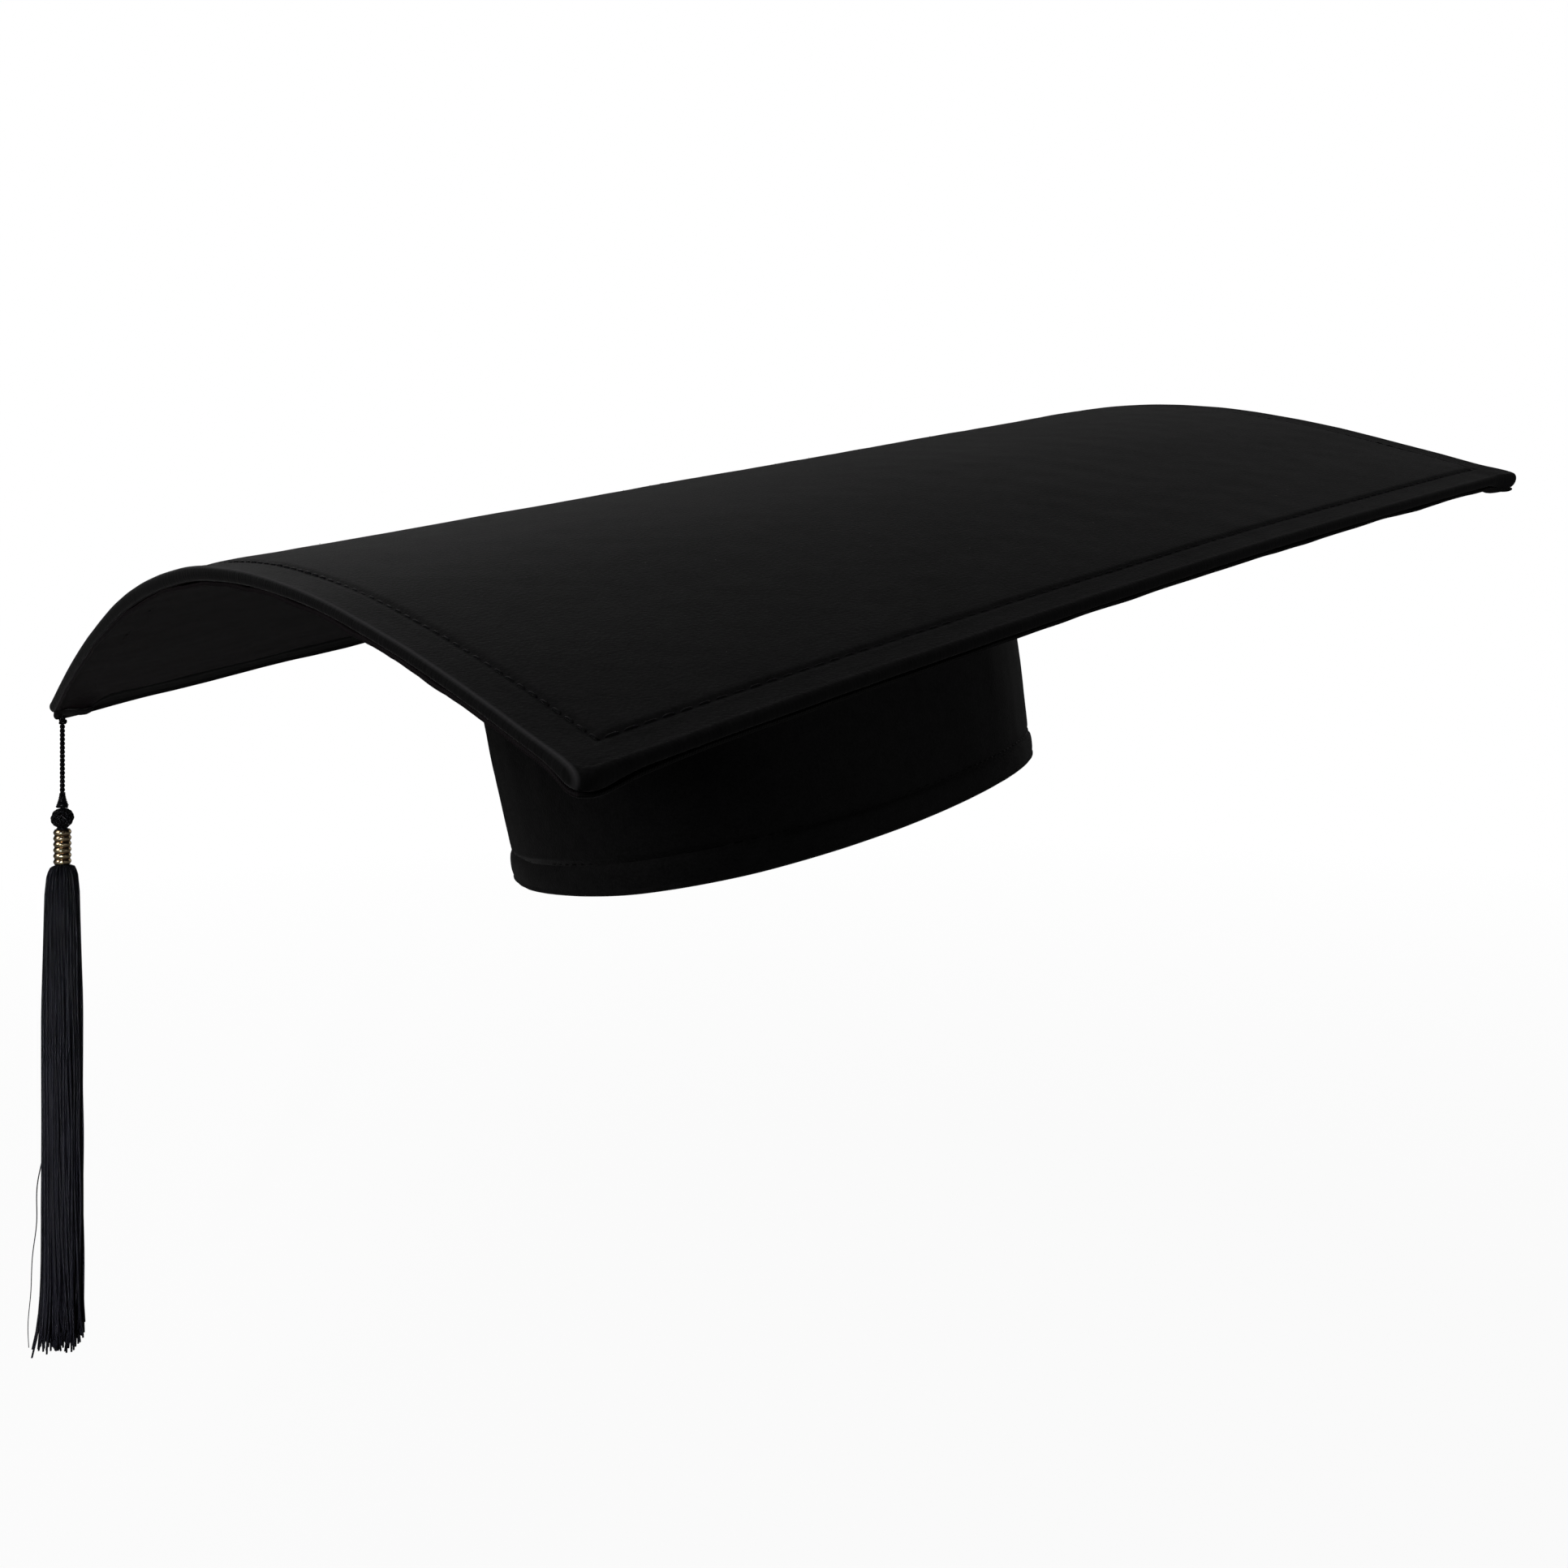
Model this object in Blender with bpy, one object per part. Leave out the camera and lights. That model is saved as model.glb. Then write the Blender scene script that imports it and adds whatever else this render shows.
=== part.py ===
"""A square academic cap: a cloth-covered board on an elasticated cap, with a tassel hanging from one corner.

The cap is built level in its own frame, in metres: origin at the centre of the head opening, front corner
of the board towards -Y, +Z up. The empty worn_tilt then leans it the way it is worn. The tassel hangs
plumb from the board's right corner, so it is built straight in world axes.
"""

import math

import bmesh
import bpy
from mathutils import Matrix, Vector

MM = 0.001

# The worn tilt, in degrees: to the wearer's right, then forwards.
TILT_SIDE = -9.0
TILT_FORWARD = 7.3

# Board.
BOARD_SIDE = 240 * MM
BOARD_CORNER_RADIUS = 3.5 * MM
BOARD_CENTRE = Vector((10 * MM, -18 * MM, 82.4 * MM))
COVER_DEPTH = 0.5 * MM
STIFFENER_DEPTHS = (0.8 * MM, 1.9 * MM)
UNDER_COVER_DEPTHS = (2.2 * MM, 2.7 * MM)
SKIRT_DEPTH = 1.9 * MM
STITCH_INSET = 6.35 * MM
STITCH_WIDTH = 0.4 * MM
TOPSTITCH_DEPTHS = (-0.3 * MM, -0.6 * MM)
# Slope of the arched board in radians: at the middle of its long edges, what its corners add, and how
# quickly the slope sets in on both sides of the ridge.
ARCH_SLOPE = 0.357
CORNER_SLOPE = 0.028
ARCH_SHARPNESS = 1.37

# Headpiece: an egg-shaped band, narrow end at the front, under a rim plane that dips to the back.
HEAD_LENGTH = 184 * MM
HEAD_HALF_WIDTH = 62.3 * MM
HEAD_EGG = 0.18
CROWN_FLARE = 1.02
BAND_HEIGHT = 80 * MM
MID_HEIGHT = 42 * MM
RIM_RISE_RIGHT = 0.046
RIM_RISE_BACK = -0.132
HEM_HEIGHT = 6.4 * MM
HEM_TOP = 7.0 * MM
ELASTIC_REACH = 5
GAP = 0.3 * MM

# Tassel, measured down from the swing pivot under the corner.
CORNER_INSET = 1.7 * MM
ANCHOR_DEPTHS = (3.0 * MM, 3.5 * MM)
ANCHOR_INSET = 4.7 * MM
ANCHOR_RADIUS = 3.8 * MM
KNOT_RADIUS = 0.8 * MM
PIVOT_DEPTH = ANCHOR_DEPTHS[1] + GAP + KNOT_RADIUS
CORD_DIAMETER = 1.0 * MM
CORD_END = 17.3 * MM
BALL_RADIUS = 2.25 * MM
BALL_CENTRE = 21.75 * MM
COLLAR_TOP = 24.3 * MM
COLLAR_END = 32.2 * MM
COLLAR_RADIUS = 1.8 * MM
COLLAR_BORE = 1.3 * MM
COLLAR_RIDGES = 7
COLLAR_GROOVE = 0.25 * MM
NECK_RADIUS = 1.0 * MM
SKIRT_TOP = 32.9 * MM
SKIRT_END = 141.3 * MM
SWAY_DROP = COLLAR_END + 0.2 * MM
SKIRT_RADIUS = 4.3 * MM
LOOSE_DIAMETER = 0.5 * MM

ARCH_STEPS = 24
EGG_STEPS = 40
ROW_INSETS = [inset * MM for inset in (3.5, 12, 28, 44, 60, 76, 92, 106, 120)]

HALF = BOARD_SIDE / 2
DIAGONAL = math.sqrt(0.5)
LEAN_FORWARD = Matrix.Rotation(math.radians(TILT_FORWARD), 4, "X")
TILT = LEAN_FORWARD @ Matrix.Rotation(math.radians(TILT_SIDE), 4, "Y")

CLOTH = ((0.012, 0.012, 0.014), 0.9, 0.0)
LINING = ((0.018, 0.015, 0.018), 0.7, 0.0)
CARD = ((0.32, 0.27, 0.20), 0.9, 0.0)
BUCKRAM = ((0.10, 0.10, 0.10), 0.9, 0.0)
THREAD = ((0.02, 0.02, 0.022), 0.6, 0.0)
ELASTIC = ((0.015, 0.015, 0.015), 0.8, 0.0)
LABEL = ((0.75, 0.74, 0.72), 0.8, 0.0)
SILK = ((0.02, 0.02, 0.028), 0.4, 0.0)
GOLD = ((0.55, 0.40, 0.18), 0.3, 1.0)


def clear_scene():
    for old in list(bpy.data.objects):
        bpy.data.objects.remove(old)


def material(name, look):
    colour, roughness, metallic = look
    made = bpy.data.materials.new(name)
    made.use_nodes = True
    shader = made.node_tree.nodes["Principled BSDF"]
    shader.inputs["Base Color"].default_value = (*colour, 1.0)
    shader.inputs["Roughness"].default_value = roughness
    shader.inputs["Metallic"].default_value = metallic
    return made


def solid(name, look, rings, closed_rows=False, parent=None, at=None, poles=None):
    """A closed solid from rings of points. The first and last ring are joined if closed_rows, and otherwise
    capped, with a fan to each of two poles if they are given."""
    mesh = bpy.data.meshes.new(name)
    shape = bmesh.new()
    rows = [[shape.verts.new(point) for point in ring] for ring in rings]
    pairs = list(zip(rows, rows[1:]))
    if closed_rows:
        pairs.append((rows[-1], rows[0]))
    elif poles:
        for row, pole in zip((rows[0], rows[-1]), poles):
            tip = shape.verts.new(pole)
            for i in range(len(row)):
                shape.faces.new((row[i], row[(i + 1) % len(row)], tip))
    else:
        shape.faces.new(rows[0])
        shape.faces.new(rows[-1])
    for lower, upper in pairs:
        for i in range(len(lower)):
            j = (i + 1) % len(lower)
            shape.faces.new((lower[i], lower[j], upper[j], upper[i]))
    bmesh.ops.recalc_face_normals(shape, faces=shape.faces)
    bmesh.ops.triangulate(shape, faces=shape.faces)
    shape.to_mesh(mesh)
    shape.free()
    return place(bpy.data.objects.new(name, mesh), look, parent, at)


def place(made, look, parent, at):
    """Links an object, gives it its material, and puts it under its parent or at its place."""
    bpy.context.scene.collection.objects.link(made)
    made.data.materials.append(material(made.name, look))
    made.parent = parent
    if at is not None:
        made.location = at
    if made.type == "MESH":
        made.data.shade_smooth()
        made.data.set_sharp_from_angle(angle=math.radians(40))
    return made


# ---- the arched board ----


def arch(along, across, depth):
    """A point of the board in the cap's frame: along and across the ridge, depth under the top surface."""
    end_share = (along / HALF) ** 2
    slope_scale = (ARCH_SLOPE + CORNER_SLOPE * end_share) / math.tanh(ARCH_SHARPNESS)
    step = across / ARCH_STEPS
    run = 0.0
    drop = 0.0
    for i in range(ARCH_STEPS):
        slope = slope_scale * math.tanh(ARCH_SHARPNESS * (i + 0.5) * step / HALF)
        run += step * math.cos(slope)
        drop += step * math.sin(slope)
    slope = slope_scale * math.tanh(ARCH_SHARPNESS * across / HALF)
    run -= depth * math.sin(slope)
    height = -drop - depth * math.cos(slope)
    return BOARD_CENTRE + Vector(((along - run) * DIAGONAL, (along + run) * DIAGONAL, height))


def underside(x, y):
    """Height of the board's underside over a place in the cap's frame."""
    dx = x - BOARD_CENTRE.x
    dy = y - BOARD_CENTRE.y
    along = (dx + dy) * DIAGONAL
    wanted = (dy - dx) * DIAGONAL
    across = wanted
    for _ in range(8):
        found = arch(along, across, UNDER_COVER_DEPTHS[1])
        reached = ((found.y - BOARD_CENTRE.y) - (found.x - BOARD_CENTRE.x)) * DIAGONAL
        across += wanted - reached
    return arch(along, across, UNDER_COVER_DEPTHS[1]).z


def half_length(inset):
    """Half the length of a row at an inset from the board's edge, shorter where the corners are round."""
    into_corner = BOARD_CORNER_RADIUS - inset
    if into_corner <= 0:
        return HALF
    reach = math.sqrt(max(BOARD_CORNER_RADIUS**2 - into_corner**2, 0.0))
    return HALF - BOARD_CORNER_RADIUS + reach


def board_plate(name, look, top, bottom, parent):
    """A sheet of the board, as rows across it. top and bottom list (inset from the edge, depth) from the
    edge inwards, and two entries with one inset make a step."""
    rings = []
    for side in (-1, 1):
        half_rings = []
        for which, inset in row_insets(top, bottom):
            across = side * (HALF - inset)
            half = half_length(inset)
            upper = face_row(half, across, top, depth_at(top, which, inset))
            lower = face_row(half, across, bottom, depth_at(bottom, which, inset))
            half_rings.append(upper + lower[::-1])
        rings += half_rings if side < 0 else half_rings[-2::-1]
    return solid(name, look, rings, parent=parent)


def row_insets(top, bottom):
    """Insets of the rows from the edge to the ridge, numbered so that a step's two rows stay apart."""
    steps = [inset for inset, _ in bottom]
    edge = sorted(set([inset for inset, _ in top] + steps))
    numbered = []
    for inset in edge:
        for which in range(max(1, steps.count(inset))):
            numbered.append((which, inset))
    numbered += [(0, inset) for inset in ROW_INSETS if inset > edge[-1] + GAP]
    return numbered


def depth_at(profile, which, inset):
    """Depth of a face profile at an inset, taking the second value of a step if which is 1."""
    same = [depth for at, depth in profile if at == inset]
    if same:
        return same[min(which, len(same) - 1)]
    before = [entry for entry in profile if entry[0] < inset]
    after = [entry for entry in profile if entry[0] > inset]
    if not before:
        return profile[0][1]
    if not after:
        return profile[-1][1]
    (x0, d0), (x1, d1) = before[-1], after[0]
    return d0 + (d1 - d0) * (inset - x0) / (x1 - x0)


def face_row(half, across, profile, row_depth):
    """One face's points along a row. Near the sides the face follows its edge profile, or the row's own."""
    deepest = max(depth for _, depth in profile)
    columns = []
    for inset, depth in profile:
        columns.append((half - inset, max(depth, row_depth) if row_depth < deepest else deepest))
    columns += [(half / 2, row_depth), (0.0, row_depth)]
    mirrored = [(-along, depth) for along, depth in columns[:-1]]
    return [arch(along, across, depth) for along, depth in mirrored + columns[::-1]]


def topstitch(cap):
    """One thread round the board, lying on its top cloth."""
    rows = [HALF - inset for inset in ROW_INSETS[1:]]
    rows = sorted(rows + [-row for row in rows[:-1]])
    outer = HALF - STITCH_INSET + STITCH_WIDTH / 2
    inner = outer - STITCH_WIDTH
    near, far = TOPSTITCH_DEPTHS
    rings = []
    for half, depth in ((inner, near), (outer, near), (outer, far), (inner, far)):
        path = [(half, row) for row in rows] + [(half * i / 2, half) for i in (2, 1, 0, -1)]
        path += [(-half, half)] + [(-half, row) for row in rows[::-1]]
        path += [(half * i / 2, -half) for i in (-2, -1, 0, 1)] + [(half, -half)]
        rings.append([arch(along, across, depth) for along, across in path])
    solid("board_topstitch", THREAD, rings, closed_rows=True, parent=cap)


def build_board(cap):
    stiff_top, stiff_bottom = STIFFENER_DEPTHS
    under_top, under_bottom = UNDER_COVER_DEPTHS
    rolled = [(0.0, 0.6 * MM), (0.3 * MM, 0.15 * MM), (1.2 * MM, 0.0)]
    skirt = [(0.0, SKIRT_DEPTH), (COVER_DEPTH, SKIRT_DEPTH), (COVER_DEPTH, COVER_DEPTH)]
    board_plate("board_top_cover", CLOTH, rolled, skirt, cap)
    edge = COVER_DEPTH + GAP
    board_plate("board_stiffener", CARD, [(edge, stiff_top)], [(edge, stiff_bottom)], cap)
    board_plate("board_under_cover", LINING, [(0.1 * MM, under_top)], [(0.1 * MM, under_bottom)], cap)
    topstitch(cap)


# ---- the headpiece ----


def egg(turn, inset, scale=1.0):
    """A point of the egg outline, inset from the outer cloth; turn is 0 at the front and pi at the back."""
    x = scale * HEAD_HALF_WIDTH * math.sin(turn) * (1 - HEAD_EGG * math.cos(turn))
    y = -scale * HEAD_LENGTH / 2 * math.cos(turn)
    dx = HEAD_HALF_WIDTH * (math.cos(turn) - HEAD_EGG * math.cos(2 * turn))
    dy = HEAD_LENGTH / 2 * math.sin(turn)
    length = math.hypot(dx, dy)
    return x - inset * dy / length, y + inset * dx / length


def band_point(turn, inset, anchor, height):
    """A point of the band, at a height over the rim plane or, for anchor crown, under the board."""
    if anchor == "rim":
        scale = 1 + (CROWN_FLARE - 1) * height / BAND_HEIGHT
        x, y = egg(turn, inset, scale)
        return Vector((x, y, RIM_RISE_RIGHT * x + RIM_RISE_BACK * y + height))
    x, y = egg(turn, inset, CROWN_FLARE)
    return Vector((x, y, underside(x, y) - height))


def band(name, look, section, parent, turns=None):
    """A section carried round the egg, all the way or between two turns with flat ends."""
    if turns is None:
        stations = [2 * math.pi * i / EGG_STEPS for i in range(EGG_STEPS)]
    else:
        count = max(3, round(EGG_STEPS * (turns[1] - turns[0]) / (2 * math.pi)))
        stations = [turns[0] + (turns[1] - turns[0]) * i / count for i in range(count + 1)]
    rings = [[band_point(turn, *place_in) for place_in in section] for turn in stations]
    return solid(name, look, rings, closed_rows=turns is None, parent=parent)


def crown_disc(name, look, inset, top, bottom, parent):
    """A sheet under the board with the band's outline, as shrinking rings about its middle."""
    turns = [2 * math.pi * i / EGG_STEPS for i in range(EGG_STEPS)]
    outline = [egg(turn, inset, CROWN_FLARE) for turn in turns]

    def ring(shrink, height):
        inner = [(x * shrink, y * shrink) for x, y in outline]
        return [Vector((x, y, underside(x, y) - height)) for x, y in inner]

    shrinks = (0.25, 0.5, 0.75, 1.0)
    rings = [ring(shrink, top) for shrink in shrinks] + [ring(shrink, bottom) for shrink in shrinks[::-1]]
    middle = underside(0.0, 0.0)
    poles = (Vector((0.0, 0.0, middle - top)), Vector((0.0, 0.0, middle - bottom)))
    return solid(name, look, rings, parent=parent, poles=poles)


def strip(inset, thickness, low, high):
    """A low strip's section between two insets and two heights over the rim."""
    outer = inset * MM
    inner = (inset + thickness) * MM
    corners = ((inner, low), (outer, low), (outer, high), (inner, high))
    return [(at, "rim", height * MM) for at, height in corners]


def wall(inset, thickness, low, below_board):
    """A wall's section between two insets, from a height over the rim to a distance below the board."""
    outer = inset * MM
    inner = (inset + thickness) * MM
    stops = (("rim", low * MM), ("rim", MID_HEIGHT), ("crown", below_board * MM))
    return [(outer, *stop) for stop in stops] + [(inner, *stop) for stop in stops[::-1]]


def build_headpiece(cap):
    crown_disc("crown_panel", CLOTH, 0.0, 0.3 * MM, 0.9 * MM, cap)
    crown_disc("crown_lining", LINING, 2.9 * MM, 1.3 * MM, 1.8 * MM, cap)
    outside = [(-0.3, 0.0), (-0.5, 1.4), (-0.5, 4.4), (0.15, 6.4), (0.0, 8.2), (0.0, MID_HEIGHT / MM)]
    hem = HEM_TOP / MM
    inside = [(0.7, MID_HEIGHT / MM), (0.7, 0.9), (3.0, 0.9), (3.0, hem), (3.5, hem), (3.5, 0.0)]
    section = [(inset * MM, "rim", height * MM) for inset, height in outside]
    section += [(0.0, "crown", 1.2 * MM), (0.7 * MM, "crown", 1.2 * MM)]
    section += [(inset * MM, "rim", height * MM) for inset, height in inside]
    band("headpiece_band", CLOTH, section, cap)
    band("headpiece_interlining", BUCKRAM, wall(1.0, 0.6, 1.2, 2.3), cap)
    band("headpiece_lining", LINING, wall(1.95, 0.5, 7.4, 1.2), cap)
    corners = ((1.0, 1.25), (1.5, 1.25), (1.5, 1.75), (1.0, 1.75))
    seam = [(inset * MM, "crown", drop * MM) for inset, drop in corners]
    band("crown_seam_thread", THREAD, seam, cap)
    stitch = HEM_HEIGHT / MM
    half_width = STITCH_WIDTH / MM / 2
    band("hem_stitch_thread", THREAD, strip(-0.75, 0.4, stitch - half_width, stitch + half_width), cap)

    step = 2 * math.pi / EGG_STEPS

    def at_back(name, look, section, reach):
        band(name, look, section, cap, (math.pi - reach * step, math.pi + reach * step))

    at_back("rear_elastic", ELASTIC, strip(1.9, 0.8, 1.2, 6.8), ELASTIC_REACH)
    at_back("back_seam_tape", LINING, wall(3.1, 0.4, 7.6, 5.0), 0.6)
    at_back("size_label", LABEL, strip(3.9, 0.35, 14.0, 30.0), 1)


# ---- the tassel ----


def turned(name, look, profile, sides, at, closed_rows=False):
    """A solid of revolution about its own vertical axis from (radius, height) points."""
    turns = [2 * math.pi * i / sides for i in range(sides)]
    rings = [[Vector((r * math.cos(t), r * math.sin(t), height)) for t in turns] for r, height in profile]
    return solid(name, look, rings, closed_rows=closed_rows, at=at)


def tube(name, look, points, diameter, at):
    """A plain tube along points, given from its own origin."""
    curve = bpy.data.curves.new(name, "CURVE")
    curve.dimensions = "3D"
    curve.bevel_depth = diameter / 2
    curve.bevel_resolution = 2
    curve.use_fill_caps = True
    spline = curve.splines.new("POLY")
    spline.points.add(len(points) - 1)
    for slot, point in zip(spline.points, points):
        slot.co = (*point, 1.0)
    return place(bpy.data.objects.new(name, curve), look, None, at)


def ball_profile(radius, steps):
    """A ball's profile with a small flat at both ends."""
    turns = [math.pi * (0.06 + 0.88 * i / steps) for i in range(steps + 1)]
    return [(radius * math.sin(turn), radius * math.cos(turn)) for turn in turns]


def collar_sleeve(ball):
    """The ridged metal sleeve, bored right through for the neck of the strands."""
    top = BALL_CENTRE - COLLAR_TOP
    end = BALL_CENTRE - COLLAR_END
    pitch = (top - end) / COLLAR_RIDGES
    groove_radius = COLLAR_RADIUS - COLLAR_GROOVE
    outer = []
    for i in range(COLLAR_RIDGES):
        outer += [(groove_radius, top - i * pitch), (COLLAR_RADIUS, top - (i + 0.5) * pitch)]
    profile = outer + [(groove_radius, end), (COLLAR_BORE, end), (COLLAR_BORE, top)]
    return turned("collar_sleeve", GOLD, profile, 16, ball, closed_rows=True)


def skirt_rings():
    """Fluted rings of the skirt, from the neck under the sleeve to the cut ends."""
    widths = [(0.0, 0.28), (0.03, 0.60), (0.08, 0.76), (0.30, 0.88), (0.60, 0.98), (0.90, 1.0), (1.0, 0.97)]
    flutes = 12
    rings = []
    for share, width in widths:
        height = SWAY_DROP - SKIRT_TOP - share * (SKIRT_END - SKIRT_TOP)
        ring = []
        for i in range(2 * flutes):
            turn = math.pi * i / flutes
            radius = SKIRT_RADIUS * width * (1.0 if i % 2 else 0.93)
            ring.append(Vector((radius * math.cos(turn), radius * math.sin(turn), height)))
        rings.append(ring)
    return rings


def loose_strand(name, start, end, bow, sway):
    """One thread that has worked out of the skirt, bowed sideways between two ends that are given in
    millimetres across, back and down from the swing pivot."""
    points = []
    for i in range(9):
        share = i / 8
        x = start[0] + (end[0] - start[0]) * share - bow * math.sin(math.pi * share)
        y = start[1] + (end[1] - start[1]) * share
        z = -(start[2] + (end[2] - start[2]) * share)
        points.append(Vector((x * MM, y * MM, z * MM + SWAY_DROP)))
    return tube(name, SILK, points, LOOSE_DIAMETER, sway)


def corner_anchor(cap):
    """A round patch with flattened sides under the board's corner."""
    turns = [math.pi / 2 * (side + 0.5) + 0.35 * step for side in range(4) for step in (-1, 0, 1)]
    middle = HALF - ANCHOR_INSET
    spokes = [(ANCHOR_RADIUS * math.cos(turn), ANCHOR_RADIUS * math.sin(turn)) for turn in turns]
    outline = [(x - middle, middle + y) for x, y in spokes]
    rings = [[arch(along, across, depth) for along, across in outline] for depth in ANCHOR_DEPTHS]
    solid("corner_anchor", CLOTH, rings, parent=cap)


def build_tassel():
    hang = TILT @ arch(CORNER_INSET - HALF, HALF - CORNER_INSET, PIVOT_DEPTH)
    turned("corner_knot", SILK, ball_profile(KNOT_RADIUS, 5), 12, hang)
    start = KNOT_RADIUS + GAP
    count = 8
    route = [Vector((0, 0, -(start + (CORD_END - start) * i / count))) for i in range(count + 1)]
    tube("tassel_cord", SILK, route, CORD_DIAMETER, hang)
    whip_profile = [(0.55 * MM, -0.3 * MM), (0.75 * MM, -0.6 * MM), (1.3 * MM, -1.5 * MM)]
    turned("cord_whipping", SILK, whip_profile, 12, hang - Vector((0, 0, CORD_END)))

    ball = hang - Vector((0, 0, BALL_CENTRE))
    turned("tassel_ball", SILK, ball_profile(BALL_RADIUS, 8), 16, ball)
    collar_sleeve(ball)
    neck_ends = (COLLAR_TOP + 0.2 * MM, COLLAR_END - 0.2 * MM)
    turned("strand_neck", SILK, [(NECK_RADIUS, BALL_CENTRE - end) for end in neck_ends], 12, ball)

    sway = hang - Vector((0, 0, SWAY_DROP))
    solid("tassel_skirt", SILK, skirt_rings(), at=sway)
    loose_strand("loose_strand_long", (-4.9, -0.6, 101.0), (-7.4, -1.2, 141.0), 0.5, sway)
    loose_strand("loose_strand_short", (-5.2, 0.9, 108.0), (-6.1, 1.6, 135.0), 0.2, sway)


def build():
    clear_scene()
    cap = bpy.data.objects.new("worn_tilt", None)
    bpy.context.scene.collection.objects.link(cap)
    cap.matrix_world = TILT
    build_board(cap)
    build_headpiece(cap)
    corner_anchor(cap)
    build_tassel()
    bpy.context.view_layer.update()


build()
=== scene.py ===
"""The looks of a square academic cap: its cloths, stitching, lining and tassel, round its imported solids.

Lengths are in metres. The cap is worked out level in its own frame, as its solids are, with its origin at
the centre of the head opening and the board's front corner towards -Y. TILT then leans it into the row
frame. The tassel hangs plumb, so it is worked out straight in the row frame.
"""

import math

import bpy
import numpy as np
from mathutils import Matrix, Vector


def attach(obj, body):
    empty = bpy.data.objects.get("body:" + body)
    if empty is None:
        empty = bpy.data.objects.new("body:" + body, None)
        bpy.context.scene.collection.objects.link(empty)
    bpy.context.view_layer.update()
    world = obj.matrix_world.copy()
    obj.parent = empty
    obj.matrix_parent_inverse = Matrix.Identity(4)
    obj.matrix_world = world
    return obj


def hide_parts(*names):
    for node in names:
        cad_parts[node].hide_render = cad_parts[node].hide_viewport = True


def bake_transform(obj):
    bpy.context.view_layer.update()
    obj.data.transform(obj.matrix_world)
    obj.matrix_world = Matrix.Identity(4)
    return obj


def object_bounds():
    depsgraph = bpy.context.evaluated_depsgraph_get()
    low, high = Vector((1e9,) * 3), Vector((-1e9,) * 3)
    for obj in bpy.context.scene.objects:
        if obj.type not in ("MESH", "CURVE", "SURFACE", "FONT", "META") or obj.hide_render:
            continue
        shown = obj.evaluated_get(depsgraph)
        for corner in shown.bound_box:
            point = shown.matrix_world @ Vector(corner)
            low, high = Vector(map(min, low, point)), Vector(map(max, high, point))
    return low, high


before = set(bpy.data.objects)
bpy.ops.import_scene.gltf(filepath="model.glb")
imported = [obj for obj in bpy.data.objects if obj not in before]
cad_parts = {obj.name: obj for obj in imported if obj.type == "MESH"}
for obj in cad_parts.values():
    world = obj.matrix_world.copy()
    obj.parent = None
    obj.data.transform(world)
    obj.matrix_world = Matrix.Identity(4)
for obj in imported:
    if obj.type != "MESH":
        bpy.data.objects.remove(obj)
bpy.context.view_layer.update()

MM = 0.001
TAU = 2 * math.pi
GOLDEN_TURN = TAU * 0.381966

# The cap's driving dimensions, the same as its solids have.
TILT_SIDE = -9.0
TILT_FORWARD = 7.3
BOARD_SIDE = 240 * MM
BOARD_CORNER_RADIUS = 3.5 * MM
BOARD_CENTRE = np.array((10 * MM, -18 * MM, 82.4 * MM))
STITCH_INSET = 6.35 * MM
UNDERSIDE_DEPTH = 2.7 * MM
ARCH_SLOPE = 0.357
CORNER_SLOPE = 0.028
ARCH_SHARPNESS = 1.37
ARCH_STEPS = 24
HEAD_LENGTH = 184 * MM
HEAD_HALF_WIDTH = 62.3 * MM
HEAD_EGG = 0.18
CROWN_FLARE = 1.02
BAND_HEIGHT = 80 * MM
MID_HEIGHT = 42 * MM
RIM_RISE_RIGHT = 0.046
RIM_RISE_BACK = -0.132
HEM_HEIGHT = 6.4 * MM
HEM_TOP = 7.0 * MM
CORNER_INSET = 1.7 * MM
PIVOT_DEPTH = 4.6 * MM
CORD_END = 17.3 * MM
BALL_CENTRE = 21.75 * MM
BALL_RADIUS = 2.25 * MM
COLLAR_TOP = 24.3 * MM
COLLAR_END = 32.2 * MM
COLLAR_RADIUS = 1.8 * MM
SKIRT_RADIUS = 4.3 * MM

# What the solids have a little differently: the sleeve's ridges, and the mean end of the ragged skirt.
COLLAR_RIDGES = 6
SKIRT_END = 139.8 * MM

HALF = BOARD_SIDE / 2
DIAGONAL = math.sqrt(0.5)
TILT = np.array(
    Matrix.Rotation(math.radians(TILT_FORWARD), 3, "X") @ Matrix.Rotation(math.radians(TILT_SIDE), 3, "Y")
)

# The camera's place from the centre of the board, and the way it looks, in degrees.
VIEW_OFFSET = np.array((40.96, -323.37, -29.53)) * MM
VIEW_AZIMUTH = 0.89
VIEW_ELEVATION = -0.03
LENS_MM = 33.49
SENSOR_MM = 36.0
SHIFT = (-0.0823, -0.117)

# The board's cloth: its thickness, the topstitching's furrow, the pressed edge and the folds round it.
CLOTH_THICKNESS = 0.45 * MM
CHANNEL_DEPTH = 0.22 * MM
CHANNEL_WIDTH = 0.55 * MM
EDGE_STEP = 0.26 * MM
EDGE_FOLD = 1.5 * MM
FAR_HEM = 0.8 * MM
TOP_ROLL = 2.1 * MM
UNDER_ROLL = (2.22 * MM, 2.85 * MM)
# The inset of the front fold's lips, where the board's cloth is painted paler as a highlight.
HIGHLIGHT_LIP_INSET = 0.6 * MM
# The folded cloth's swelling under each corner, (along, across) the ridge: (height, inset of its middle).
CORNER_SWELL = {
    (-1, 1): (1.9 * MM, 5.8 * MM),
    (-1, -1): (1.8 * MM, 3.6 * MM),
    (1, -1): (2.5 * MM, 3.6 * MM),
    (1, 1): (1.6 * MM, 3.6 * MM),
}
# How far the cloth bunched at each corner stands out past the board's edge.
CORNER_BUNCH = {(-1, 1): 0.3 * MM, (-1, -1): 0.6 * MM, (1, -1): 2.6 * MM, (1, 1): 1.2 * MM}

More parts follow.
